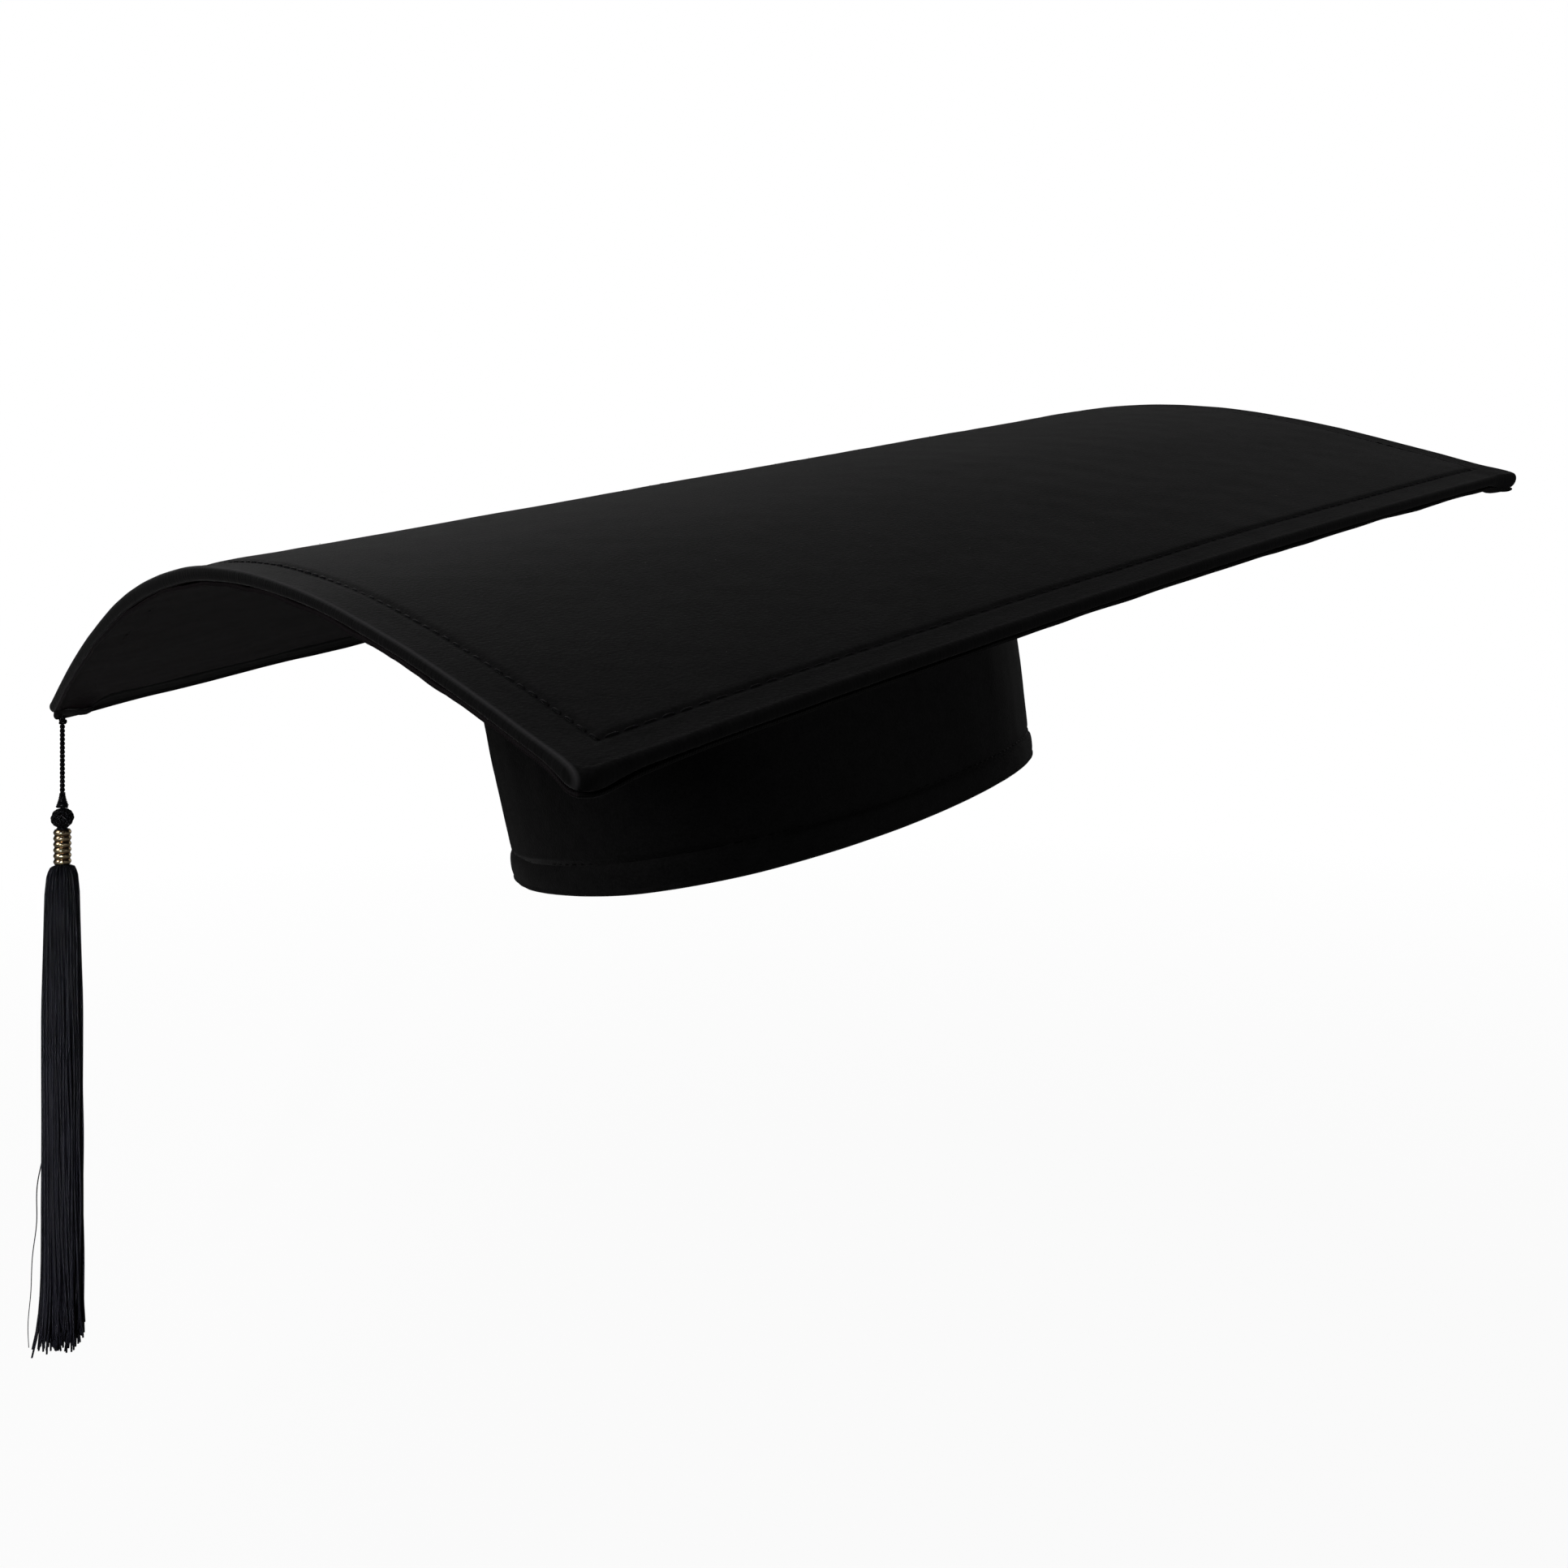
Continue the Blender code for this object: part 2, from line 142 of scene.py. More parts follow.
# How finely the cloth is cut: in a band round the board, on faces out of sight, and round the headpiece.
FINE_RIM = 12 * MM
COARSE_INSETS = (FINE_RIM, 8 * MM, STITCH_INSET, 5 * MM, 2.5 * MM)
SIDE_LINES = 160
BAND_STATIONS = 400

# Stitches and lint.
THREAD_RADIUS = 0.17 * MM
TOPSTITCH_PITCH = 2.7 * MM
HEM_PITCH = 3.0 * MM
LINT_COUNT = 90

# The headpiece's cloth: its thickness, the insets of the hem's two inner faces, and the rear gathers.
BAND_THICKNESS = 0.7 * MM
HEM_INSETS = (2.9 * MM, 3.5 * MM)
GATHER_REACH = 0.95
GATHER_DEPTH = 0.42 * MM

# Threads of the tassel.
CORD_START = 0.6 * MM
CORD_LENGTH = 30.8 * MM
PLY_PITCH = 1.9 * MM
PLY_OFFSET = 0.24 * MM
PLY_RADIUS = 0.30 * MM
WHIP_TOP = CORD_END - 1.2 * MM
WHIP_LENGTH = 3.15 * MM
BALL_THREADS = 9
NECK_TOP = BALL_CENTRE + 2.0 * MM
NECK_LENGTH = 7.5 * MM
STRAND_COUNT = 210
STRAND_RADIUS = 0.275 * MM

# Colours, and the wool's weave: pitch, twill, roughness, sheen, share of fuzz.
WOOL = (0.0125, 0.0122, 0.0128)
WOOL_WEAVE = (0.62 * MM, True, 0.85, 0.22, 0.9)
LINING = (0.0160, 0.0130, 0.0150)
UNDER_LINING = (0.0125, 0.0086, 0.0106)
# The grey of the much darker band along the board lining's two straight sides.
SIDE_BAND_GREY = 0.0022
GOLD = (1.0, 0.79, 0.50)
# The brown that the sleeve's grooves are coloured.
GROOVE_BROWN = (0.15, 0.07, 0.025)


# ---- places on the cap ----


def lean(points):
    """Points of the level cap, moved into the row frame."""
    return points @ TILT.T


def arch(along, across, depth):
    """Points of the level board, along and across its ridge and at a depth under its top surface."""
    along, across, depth = np.broadcast_arrays(along, across, depth)
    scale = (ARCH_SLOPE + CORNER_SLOPE * (along / HALF) ** 2) / math.tanh(ARCH_SHARPNESS)
    step = across / ARCH_STEPS
    run = np.zeros(across.shape)
    drop = np.zeros(across.shape)
    for i in range(ARCH_STEPS):
        slope = scale * np.tanh(ARCH_SHARPNESS * (i + 0.5) * step / HALF)
        run += step * np.cos(slope)
        drop += step * np.sin(slope)
    slope = scale * np.tanh(ARCH_SHARPNESS * across / HALF)
    run -= depth * np.sin(slope)
    height = -drop - depth * np.cos(slope)
    return BOARD_CENTRE + np.stack([(along - run) * DIAGONAL, (along + run) * DIAGONAL, height], axis=-1)


def underside(x, y):
    """Height of the board's underside over places of the level cap."""
    dx = x - BOARD_CENTRE[0]
    dy = y - BOARD_CENTRE[1]
    along = (dx + dy) * DIAGONAL
    wanted = (dy - dx) * DIAGONAL
    across = wanted
    for _ in range(8):
        found = arch(along, across, UNDERSIDE_DEPTH) - BOARD_CENTRE
        across = across + wanted - (found[..., 1] - found[..., 0]) * DIAGONAL
    return arch(along, across, UNDERSIDE_DEPTH)[..., 2]


def egg(turn, inset, scale=1.0):
    """The head's egg outline, inset from the outer cloth; turn is 0 at the front and pi at the back."""
    x = scale * HEAD_HALF_WIDTH * np.sin(turn) * (1 - HEAD_EGG * np.cos(turn))
    y = -scale * HEAD_LENGTH / 2 * np.cos(turn)
    dx = HEAD_HALF_WIDTH * (np.cos(turn) - HEAD_EGG * np.cos(2 * turn))
    dy = HEAD_LENGTH / 2 * np.sin(turn)
    length = np.hypot(dx, dy)
    return x - inset * dy / length, y + inset * dx / length


def wall(turn, inset, rise):
    """Points of the level headpiece's wall. A rise is a height over the rim up to MID_HEIGHT, and past that
    the rest of the way to the board's underside, counted as if it were BAND_HEIGHT."""
    turn, inset, rise = np.broadcast_arrays(turn, inset, rise)
    height = np.minimum(rise, MID_HEIGHT)
    x, y = egg(turn, inset, 1 + (CROWN_FLARE - 1) * height / BAND_HEIGHT)
    low = np.stack([x, y, RIM_RISE_RIGHT * x + RIM_RISE_BACK * y + height], axis=-1)
    x, y = egg(turn, inset, CROWN_FLARE)
    high = np.stack([x, y, underside(x, y)], axis=-1)
    share = np.clip((rise - MID_HEIGHT) / (BAND_HEIGHT - MID_HEIGHT), 0, 1)[..., None]
    return low * (1 - share) + high * share


def bell(away, width):
    """1 at a place, falling to 0 over a few widths away from it."""
    return np.exp(-((away / width) ** 2))


def ease(share):
    """0 to 1 as a share goes from 0 to 1, with a smooth start and end."""
    return share * share * (3 - 2 * share)


def rumple(points, wavelength, seed):
    """Smooth unevenness, mostly between -1 and 1, at points in space."""
    draw = np.random.default_rng(seed)
    total = np.zeros(points.shape[:-1])
    for octave in range(3):
        for _ in range(7):
            way = draw.normal(size=3)
            way *= TAU * 2**octave / (wavelength * draw.uniform(0.7, 1.4) * np.linalg.norm(way))
            total += np.sin(points @ way + draw.uniform(0, TAU)) / 2**octave
    return total / 4


def ripple(along, across, wavelength, seed):
    """Smooth unevenness over places on a flat cloth."""
    return rumple(np.stack([along, across, 0 * along], axis=-1), wavelength, seed)


# ---- meshes ----


def net(numbers, closed=True):
    """Quads of a net of vertex numbers, rows by columns, whose rows close round if closed."""
    left = numbers if closed else numbers[:, :-1]
    right = np.roll(numbers, -1, axis=1) if closed else numbers[:, 1:]
    return np.stack([left[:-1], right[:-1], right[1:], left[1:]], axis=-1).reshape(-1, 4)


def joined(*shapes):
    """Several (points, face groups) as one."""
    points = []
    faces = []
    start = 0
    for some, groups in shapes:
        points.append(some.reshape(-1, 3))
        faces += [group + start for group in groups]
        start += len(points[-1])
    return np.concatenate(points), faces


def outward(points, faces):
    """The faces, turned over if they point into the shape that they close."""
    volume = 0.0
    for group in faces:
        for k in range(1, group.shape[1] - 1):
            a, b, c = (points[group[:, i]] for i in (0, k, k + 1))
            volume += float((a * np.cross(b, c)).sum())
    return [group[:, ::-1] for group in faces] if volume < 0 else faces


def placed(name, data):
    """A new object in the scene."""
    made = bpy.data.objects.new(name, data)
    bpy.context.scene.collection.objects.link(made)
    return made


def piece(name, shape, look, body, solid=None, weave=None):
    """One visible mesh that rides on a body and stands for a solid. weave holds places on the cloth."""
    points, faces = shape
    points = points.reshape(-1, 3)
    faces = outward(points, faces)
    mesh = bpy.data.meshes.new(name)
    mesh.from_pydata(points.tolist(), [], [face for group in faces for face in group.tolist()])
    mesh.shade_smooth()
    mesh.materials.append(look)
    if weave is not None:
        corners = np.zeros(len(mesh.loops), np.int32)
        mesh.loops.foreach_get("vertex_index", corners)
        places = np.asarray(weave).reshape(-1, 2)[corners].astype(np.float32)
        mesh.uv_layers.new(name="weave").data.foreach_set("uv", places.ravel())
    made = placed(name, mesh)
    if body is not None:
        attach(made, body)
    if solid is not None:
        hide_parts(solid)
    return made


def tubes(paths, radii, up, sides=6):
    """Closed round tubes along paths (tube, place, xyz), as one shape."""
    paths = np.asarray(paths, float)
    forward = np.gradient(paths, axis=1)
    side = np.cross(forward, up)
    side /= np.linalg.norm(side, axis=2, keepdims=True)
    top = np.cross(side, forward)
    top /= np.linalg.norm(top, axis=2, keepdims=True)
    turn = TAU * np.arange(sides) / sides
    radii = np.broadcast_to(radii, paths.shape[:2])[..., None, None]
    spokes = np.cos(turn)[:, None] * side[:, :, None] + np.sin(turn)[:, None] * top[:, :, None]
    points = paths[:, :, None] + radii * spokes
    numbers = np.arange(points.size // 3).reshape(points.shape[:3])
    walls = np.concatenate([net(tube) for tube in numbers])
    ends = np.concatenate([numbers[:, 0, ::-1], numbers[:, -1]])
    return points.reshape(-1, 3), [walls, ends]


def capped(points):
    """A closed solid of rows of points that each close round, with a flat face over its two end rows."""
    numbers = np.arange(points.size // 3).reshape(points.shape[:2])
    return points, [net(numbers), numbers[:1, ::-1], numbers[-1:]]


def lathe(profile, sides, centre):
    """A closed solid turned from (radius, height) points about an upright line."""
    profile = np.asarray(profile, float)
    turn = TAU * np.arange(sides) / sides
    radius = profile[:, :1]
    points = np.stack([radius * np.cos(turn), radius * np.sin(turn), profile[:, 1:] + 0 * turn], axis=-1)
    return capped(points + centre)


# ---- materials ----


def node(tree, kind, inputs=(), **settings):
    """A shader node with its settings, and values or links for its inputs."""
    made = tree.nodes.new("ShaderNode" + kind)
    for name, value in settings.items():
        setattr(made, name, value)
    for name, value in dict(inputs).items():
        if isinstance(value, bpy.types.NodeSocket):
            tree.links.new(value, made.inputs[name])
        else:
            made.inputs[name].default_value = value
    return made


def maths(tree, operation, first, second=0.0, third=0.5):
    return node(tree, "Math", {0: first, 1: second, 2: third}, operation=operation).outputs[0]


def weighted(tree, *parts):
    """The sum of (socket, weight) parts."""
    total = 0.0
    for socket, weight in parts:
        total = maths(tree, "MULTIPLY_ADD", socket, weight, total)
    return total


def either(tree, share, first, second):
    """The first shader where a share is 0, and the second where it is 1."""
    return node(tree, "MixShader", {0: share, 1: first, 2: second}).outputs[0]


def grey(level):
    return (level, level, level, 1.0)


def tinted(colour, scale=1.0):
    return (*(value * scale for value in colour), 1.0)


def new_look(name, colour, roughness, **more):
    """A Principled material. Its constants go on the shader's own sockets."""
    look = bpy.data.materials.new(name)
    look.use_nodes = True
    look.diffuse_color = tinted(colour)
    shader = look.node_tree.nodes["Principled BSDF"]
    shader.inputs["Base Color"].default_value = tinted(colour)
    shader.inputs["Roughness"].default_value = roughness
    for socket, value in more.items():
        shader.inputs[socket.replace("_", " ").title()].default_value = value
    return look, look.node_tree, shader


def colour_by(tree, shader, level, colour, dark, light):
    """Runs the base colour from dark to light times a colour as a level goes from low to high."""
    ramp = node(tree, "ValToRGB", {"Fac": level})
    low, high = ramp.color_ramp.elements
    low.position = 0.3
    high.position = 0.7
    low.color = tinted(colour, dark)
    high.color = tinted(colour, light)
    tree.links.new(ramp.outputs["Color"], shader.inputs["Base Color"])


def bump_by(tree, shader, level, distance, strength):
    bump = node(tree, "Bump", {"Height": level, "Distance": distance, "Strength": strength})
    tree.links.new(bump.outputs["Normal"], shader.inputs["Normal"])


def places(tree, source):
    """Where a point of the cloth is: on its own weave, or in space for a solid that has none."""
    if source == "weave":
        return node(tree, "UVMap", uv_map="weave").outputs["UV"]
    return node(tree, "TexCoord").outputs["Object"]


def noise(tree, place, size, detail):
    """Noise from 0 to 1 whose features have about that size."""
    settings = {"Vector": place, "Scale": 1 / size, "Detail": detail}
    return node(tree, "TexNoise", settings).outputs["Fac"]


def yarns(tree, place, pitch, twill):
    """The height of crossing yarns from 0 to 1: a plain weave, with a diagonal rib if twill."""
    apart = node(tree, "SeparateXYZ", {0: place})
    u = maths(tree, "MULTIPLY", apart.outputs[0], TAU / pitch)
    v = maths(tree, "MULTIPLY", apart.outputs[1], TAU / pitch)
    if twill:
        rib = maths(tree, "SINE", maths(tree, "ADD", u, v))
        cross = maths(tree, "SINE", maths(tree, "SUBTRACT", u, maths(tree, "MULTIPLY", v, 0.5)))
        height = weighted(tree, (rib, 1.0), (cross, 0.45))
    else:
        height = maths(tree, "MULTIPLY", maths(tree, "SINE", u), maths(tree, "SINE", v))
    return maths(tree, "MULTIPLY_ADD", height, 0.35, 0.5)


def cloth_look(name, colour, pitch, twill, rough, sheen, fuzz, source="weave"):
    """A woven cloth: yarns under a fuzz of fibres, in the bump and the colour, with sheen at grazing angles.
    fuzz is the share of the fibres: most for a felted wool, little for a smooth lining."""
    look, tree, shader = new_look(name, colour, rough, sheen_weight=sheen, sheen_roughness=0.3)
    shader.inputs["Sheen Tint"].default_value = grey(0.9)
    shader.inputs["Specular IOR Level"].default_value = 0.2
    place = places(tree, source)
    thread = yarns(tree, place, pitch, twill)
    hair = noise(tree, place, 0.6 * MM, 5.0)
    tuft = noise(tree, place, 2.6 * MM, 4.0)
    patch = noise(tree, place, 16 * MM, 3.0)
    height = weighted(tree, (thread, 1 - fuzz), (hair, fuzz))
    bump_by(tree, shader, height, 0.14 * MM, 0.8)
    shade = weighted(tree, (height, 0.45), (tuft, 0.3), (patch, 0.25))
    colour_by(tree, shader, shade, colour, 0.3, 1.9)
    spread = {"Value": patch, "To Min": rough - 0.06, "To Max": rough + 0.06}
    worn = node(tree, "MapRange", spread).outputs["Result"]
    tree.links.new(worn, shader.inputs["Roughness"])
    return look


def painted(look, mask, colour):
    """The look with another colour mixed in where a mask is 1."""
    tree = look.node_tree
    base = tree.nodes["Principled BSDF"].inputs["Base Color"]
    plain = base.links[0].from_socket
    mixed = node(tree, "Mix", {0: mask, 6: plain, 7: colour}, data_type="RGBA")
    tree.links.new(mixed.outputs[2], base)
    return look


def painted_highlight_look():
    """The board's cloth, with a painted highlight that makes it paler on both lips of the fold along its
    front arch.
    """
    look = cloth_look("wool_cloth_board", WOOL, *WOOL_WEAVE)
    tree = look.node_tree
    along = node(tree, "SeparateXYZ", {0: places(tree, "weave")}).outputs[0]
    away = maths(tree, "ABSOLUTE", maths(tree, "ADD", along, HALF - HIGHLIGHT_LIP_INSET))
    fall = {"Value": away, "From Max": 0.4 * MM, "To Min": 1.0, "To Max": 0.0}
    return painted(look, node(tree, "MapRange", fall).outputs[0], tinted(WOOL, 8.0))


def under_look():
    """The board's lining, much darker in a band along its two straight sides: as far as the stitching on
    the tassel's side, and by the width of the fold on the other."""
    look = cloth_look("under_cloth", UNDER_LINING, 0.42 * MM, False, 0.6, 0.03, 0.3)
    tree = look.node_tree
    across = node(tree, "SeparateXYZ", {0: places(tree, "weave")}).outputs[1]
    tassel_side = maths(tree, "GREATER_THAN", across, HALF - STITCH_INSET)
    other_side = maths(tree, "LESS_THAN", across, EDGE_FOLD - HALF)
    return painted(look, maths(tree, "MAXIMUM", tassel_side, other_side), grey(SIDE_BAND_GREY))


def thread_look(name, colour, rough, stretch, sheen=0.15):
    """Spun thread, with streaks that are drawn out upright, as the tassel's threads hang."""
    look, tree, shader = new_look(name, colour, rough, sheen_weight=sheen, sheen_roughness=0.3)
    shader.inputs["Specular IOR Level"].default_value = 0.10
    place = node(tree, "TexCoord").outputs["Object"]
    drawn = node(tree, "Mapping", {"Vector": place, "Scale": (1.0, 1.0, 1 / stretch)}).outputs[0]
    streak = noise(tree, drawn, 0.35 * MM, 2.0)
    tuft = noise(tree, drawn, 1.6 * MM, 2.0)
    bump_by(tree, shader, streak, 0.06 * MM, 0.7)
    colour_by(tree, shader, weighted(tree, (streak, 0.5), (tuft, 0.5)), colour, 0.35, 1.7)
    return look


def gold_look():
    """Plated sleeve metal: bright ridges, brown in the grooves, fine scratches."""
    look, tree, shader = new_look("sleeve_gold", GOLD, 0.26, metallic=1.0)
    place = places(tree, "weave")
    apart = node(tree, "SeparateXYZ", {0: place})
    pitch = (COLLAR_END - COLLAR_TOP) / COLLAR_RIDGES
    wave = maths(tree, "COSINE", maths(tree, "MULTIPLY", apart.outputs[1], TAU / pitch))
    ridge = maths(tree, "MULTIPLY_ADD", wave, -0.5, 0.5)
    stain = noise(tree, place, 1.2 * MM, 4.0)
    shade = maths(tree, "MULTIPLY", ridge, maths(tree, "ADD", stain, 0.35))
    ramp = node(tree, "ValToRGB", {"Fac": shade})
    groove, crest = ramp.color_ramp.elements
    groove.color = tinted(GROOVE_BROWN)
    crest.color = tinted(GOLD)
    crest.position = 0.55
    tree.links.new(ramp.outputs["Color"], shader.inputs["Base Color"])
    scratch = noise(tree, place, 0.12 * MM, 3.0)
    bump_by(tree, shader, scratch, 0.02 * MM, 0.4)
    return look


def grain_look(name, colour, rough, size):
    """Card, stiffening and other plain hidden stuff: a fibrous grain in colour and height."""
    look, tree, shader = new_look(name, colour, rough)
    grain = noise(tree, places(tree, "space"), size, 5.0)
    bump_by(tree, shader, grain, 0.08 * MM, 0.6)
    colour_by(tree, shader, grain, colour, 0.7, 1.25)
    return look


def make_looks():
    return {
        # The board's cloth carries a painted highlight along its front fold.
        "board": painted_highlight_look(),
        "head": cloth_look("wool_cloth", WOOL, *WOOL_WEAVE),
        "solid": cloth_look("wool_cloth_solid", WOOL, *WOOL_WEAVE, "space"),
        "under": under_look(),
        "lining": cloth_look("lining_cloth", LINING, 0.36 * MM, False, 0.42, 0.15, 0.3),
        "tape": cloth_look("tape_cloth", (0.007, 0.0065, 0.007), 0.5 * MM, True, 0.7, 0.02, 0.6),
        "label": cloth_look("label_cloth", (0.55, 0.54, 0.52), 0.3 * MM, False, 0.5, 0.2, 0.1),
        "thread": thread_look("sewing_thread", (0.011, 0.011, 0.0125), 0.5, 1.0),
        "hem_thread": thread_look("hem_thread", (0.0045, 0.0045, 0.005), 0.5, 1.0),
        "silk": thread_look("tassel_silk", (0.0035, 0.0035, 0.0056), 0.5, 14.0, 0.0),
        "cord": thread_look("cord_silk", (0.0045, 0.0045, 0.0055), 0.42, 3.0, 0.0),
        "gold": gold_look(),
        "card": grain_look("grey_card", (0.30, 0.27, 0.22), 0.9, 1.5 * MM),
        "buckram": grain_look("buckram", (0.10, 0.10, 0.10), 0.85, 0.8 * MM),
        "elastic": grain_look("elastic", (0.02, 0.02, 0.02), 0.7, 0.5 * MM),
        "lint": grain_look("lint", (0.16, 0.155, 0.15), 0.9, 0.3 * MM),
    }


LOOKS = make_looks()


# ---- the board ----


def side_lines():
    """Places from -1 to 1 along a side of the board, closer together towards its ends."""
    even = np.linspace(-1, 1, SIDE_LINES + 1)
    return 0.35 * even + 0.65 * np.sin(even * math.pi / 2)


LINES = side_lines()


def ring(inset):
    """A line round the board at an inset from its edge, with the corners' arcs, as (along, across)."""
    radius = max(BOARD_CORNER_RADIUS - inset, 1e-9)
    straight = HALF - inset - radius
    path = np.abs(LINES[:-1]) * (straight + radius * math.pi / 4)
    bend = np.maximum(path - straight, 0) / radius
    out = straight + radius * np.cos(bend)
    side = np.sign(LINES[:-1]) * (np.minimum(path, straight) + radius * np.sin(bend))
    return np.concatenate([out, -side, -out, side]), np.concatenate([side, out, -side, -out])


def corner_swell(along, across):
    """How much the cloth folded into the corners thickens the board's edge."""
    total = 0.0
    for (end, side), (height, inset) in CORNER_SWELL.items():
        away = np.hypot(along - end * (HALF - inset), across - side * (HALF - inset))
        total = total + height * bell(away, 3.3 * MM)
    return total


def arch_swell(along, across):
    """How much thicker the unpressed fold is in the crook of the front arch, away from its corners."""
    side = np.clip(1 - np.abs((across - 0.25 * HALF) / (0.8 * HALF)), 0, 1)
    return 0.75 * MM * bell(HALF + along, 2.6 * MM) * ease(side)


def bunched(along, across):
    """Places on the board, moved out to where the cloth bunched at the corners stands."""
    centre = HALF - 1.0 * MM
    for (end, side), reach in CORNER_BUNCH.items():
        away = np.hypot(along - end * centre, across - side * centre)
        push = reach * DIAGONAL * bell(away, 3.0 * MM)
        along = along + end * push
        across = across + side * push
    return along, across


def channel(inset):
    """Depth of the furrow that the topstitching pulls into the cloth, and of the pressed edge outside it."""
    furrow = CHANNEL_DEPTH * bell(inset - STITCH_INSET, CHANNEL_WIDTH)
    share = np.clip((STITCH_INSET + 0.7 * MM - inset) / (1.4 * MM), 0, 1)
    rounding = np.clip(inset / (4 * MM), 0, 1)
    return furrow + EDGE_STEP * ease(share) * (0.35 + 0.65 * rounding)


def edge_roll(low, high, reach, steps=12):
    """(inset, depth) round a folded edge, from depth low to depth high."""
    turn = np.linspace(0, math.pi, steps + 1)
    inset = reach * (1 - np.abs(np.sin(turn)) ** 0.75)
    depth = (low + high) / 2 - (high - low) / 2 * np.cos(turn)
    return list(zip(inset, depth))


def run_insets(start):
    """Insets of a face's rings from the fine rim's inner edge outwards to start, close at the stitching."""
    wide = np.arange(FINE_RIM, 8.6 * MM, -1.1 * MM)
    close = np.arange(8.3 * MM, 4.4 * MM, -0.35 * MM)
    edge = np.arange(4.0 * MM, start + 0.2 * MM, -0.55 * MM)
    return np.concatenate([wide, close, edge])


def board_sheet(name, solid, look, outer, inner, flat_depths, unevenness):
    """A closed sheet of the board. outer and inner list (inset, depth) rings from the fine rim outwards;
    flat_depths are the depths of its two faces inside the rim."""
    reach = (HALF - FINE_RIM) * LINES
    flat = np.stack(np.meshgrid(reach, reach, indexing="ij")).reshape(2, -1)
    size = len(LINES)
    face = np.arange(size * size).reshape(size, size)
    rim = np.concatenate([face[-1, :-1], face[:0:-1, -1], face[0, :0:-1], face[:-1, 0]])
    rings = outer[1:] + inner[:0:-1]
    along, across = np.concatenate([flat, *(ring(inset) for inset, _ in rings), flat], axis=1)
    ring_depths = np.repeat([depth for _, depth in rings], len(rim))
    first, last = (np.full(size * size, depth) for depth in flat_depths)
    depth = unevenness(along, across, np.concatenate([first, ring_depths, last]))
    middle = np.arange(len(ring_depths)).reshape(len(rings), -1) + size * size
    other = face + size * size + len(ring_depths)
    rim_other = rim + size * size + len(ring_depths)
    ring_numbers = np.concatenate([rim[None], middle, rim_other[None]])
    faces = [net(face, closed=False), net(ring_numbers), net(other, closed=False)[:, ::-1]]
    weave = np.stack([along, across], axis=-1)
    points = lean(arch(*bunched(along, across), depth))
    return piece(name, (points, faces), look, "cap", solid, weave)


def top_unevenness(along, across, depth):
    wave = 0.10 * MM * ripple(along, across, 55 * MM, 3) + 0.025 * MM * ripple(along, across, 9 * MM, 4)
    fold = np.clip(depth / TOP_ROLL, 0, 1)
    return depth + wave + (corner_swell(along, across) + arch_swell(along, across)) * (1.25 * fold - 0.25)


def under_unevenness(along, across, depth):
    """The lining's waves. Its furrow fades along the front arch, where it hangs over the stitching."""
    inset = HALF - np.maximum(np.abs(along), np.abs(across))
    by_arch = (-along > np.abs(across)) & (depth > UNDER_ROLL[1] - 0.6 * MM)
    depth = np.where(by_arch, depth + 0.85 * channel(inset), depth)
    hem = np.clip((across - HALF + STITCH_INSET) / (1.2 * MM), 0, 1)
    lower = np.clip((depth - UNDER_ROLL[0]) / (UNDER_ROLL[1] - UNDER_ROLL[0]), 0, 1)
    depth = depth + FAR_HEM * ease(hem) * lower
    slack = 0.10 * MM + 0.12 * MM * bell(inset - STITCH_INSET, 9 * MM)
    wave = slack * ripple(along, across * 1.6, 26 * MM, 5)
    return depth + wave + corner_swell(along, across) + arch_swell(along, across)


def build_top_cloth():
    thin = CLOTH_THICKNESS
    outer = [(inset, float(channel(inset))) for inset in run_insets(1.0 * MM)]
    outer += edge_roll(0.35 * EDGE_STEP, TOP_ROLL, 1.0 * MM)
    inner = [(inset, thin + float(channel(inset))) for inset in COARSE_INSETS]
    roll = edge_roll(thin, TOP_ROLL - thin, 1.0 * MM, 6)
    inner += [(inset * 0.6 + thin, depth) for inset, depth in roll]
    flats = (0.0, thin)
    top = board_sheet("top_cloth", "board_top_cover", LOOKS["board"], outer, inner, flats, top_unevenness)


def build_under_cloth():
    high, low = UNDER_ROLL
    inside = high + 0.05 * MM
    outer = [(inset, UNDERSIDE_DEPTH - float(channel(inset))) for inset in run_insets(0.6 * MM)]
    outer += [(inset + 0.22 * MM, depth) for inset, depth in edge_roll(low, high, 0.5 * MM, 8)]
    inner = [(inset, inside) for inset in COARSE_INSETS + (1.2 * MM,)]
    flats = (UNDERSIDE_DEPTH, inside)
    under = board_sheet(
        "under_cloth", "board_under_cover", LOOKS["under"], outer, inner, flats, under_unevenness
    )


def stitch_line(distance, depth):
    """The row-frame place at a distance along the topstitching, at a depth in the board."""
    reach = HALF - STITCH_INSET
    side = np.floor(distance / (2 * reach)) % 4
    t = distance % (2 * reach) - reach
    out = reach + 0 * t
    sides = [side == k for k in range(3)]
    along = np.select(sides, [out, -t, -out], t)
    across = np.select(sides, [t, out, -t], -out)
    return lean(arch(along, across, depth))


def stitches(name, look, line, length, pitch, seed, solid=None):
    """Stitches along line(distance, lift): each comes out of one needle hole and dives into the next."""
    draw = np.random.default_rng(seed)
    count = round(length / pitch)
    centres = (np.arange(count) + 0.5) * length / count
    share = np.linspace(-1, 1, 9)
    reach = 0.40 * pitch * (1 + 0.08 * draw.normal(size=(count, 1)))
    distance = centres[:, None] + reach * share
    lift = THREAD_RADIUS * (0.55 - 2.2 * share**4 + 0.15 * draw.normal(size=(count, 1)))
    paths = line(distance, lift)
    up = line(distance, lift + 0.1 * MM) - paths
    radii = THREAD_RADIUS * (1 - 0.2 * share**6)
    piece(name, tubes(paths, radii[None], up), look, "cap", solid)


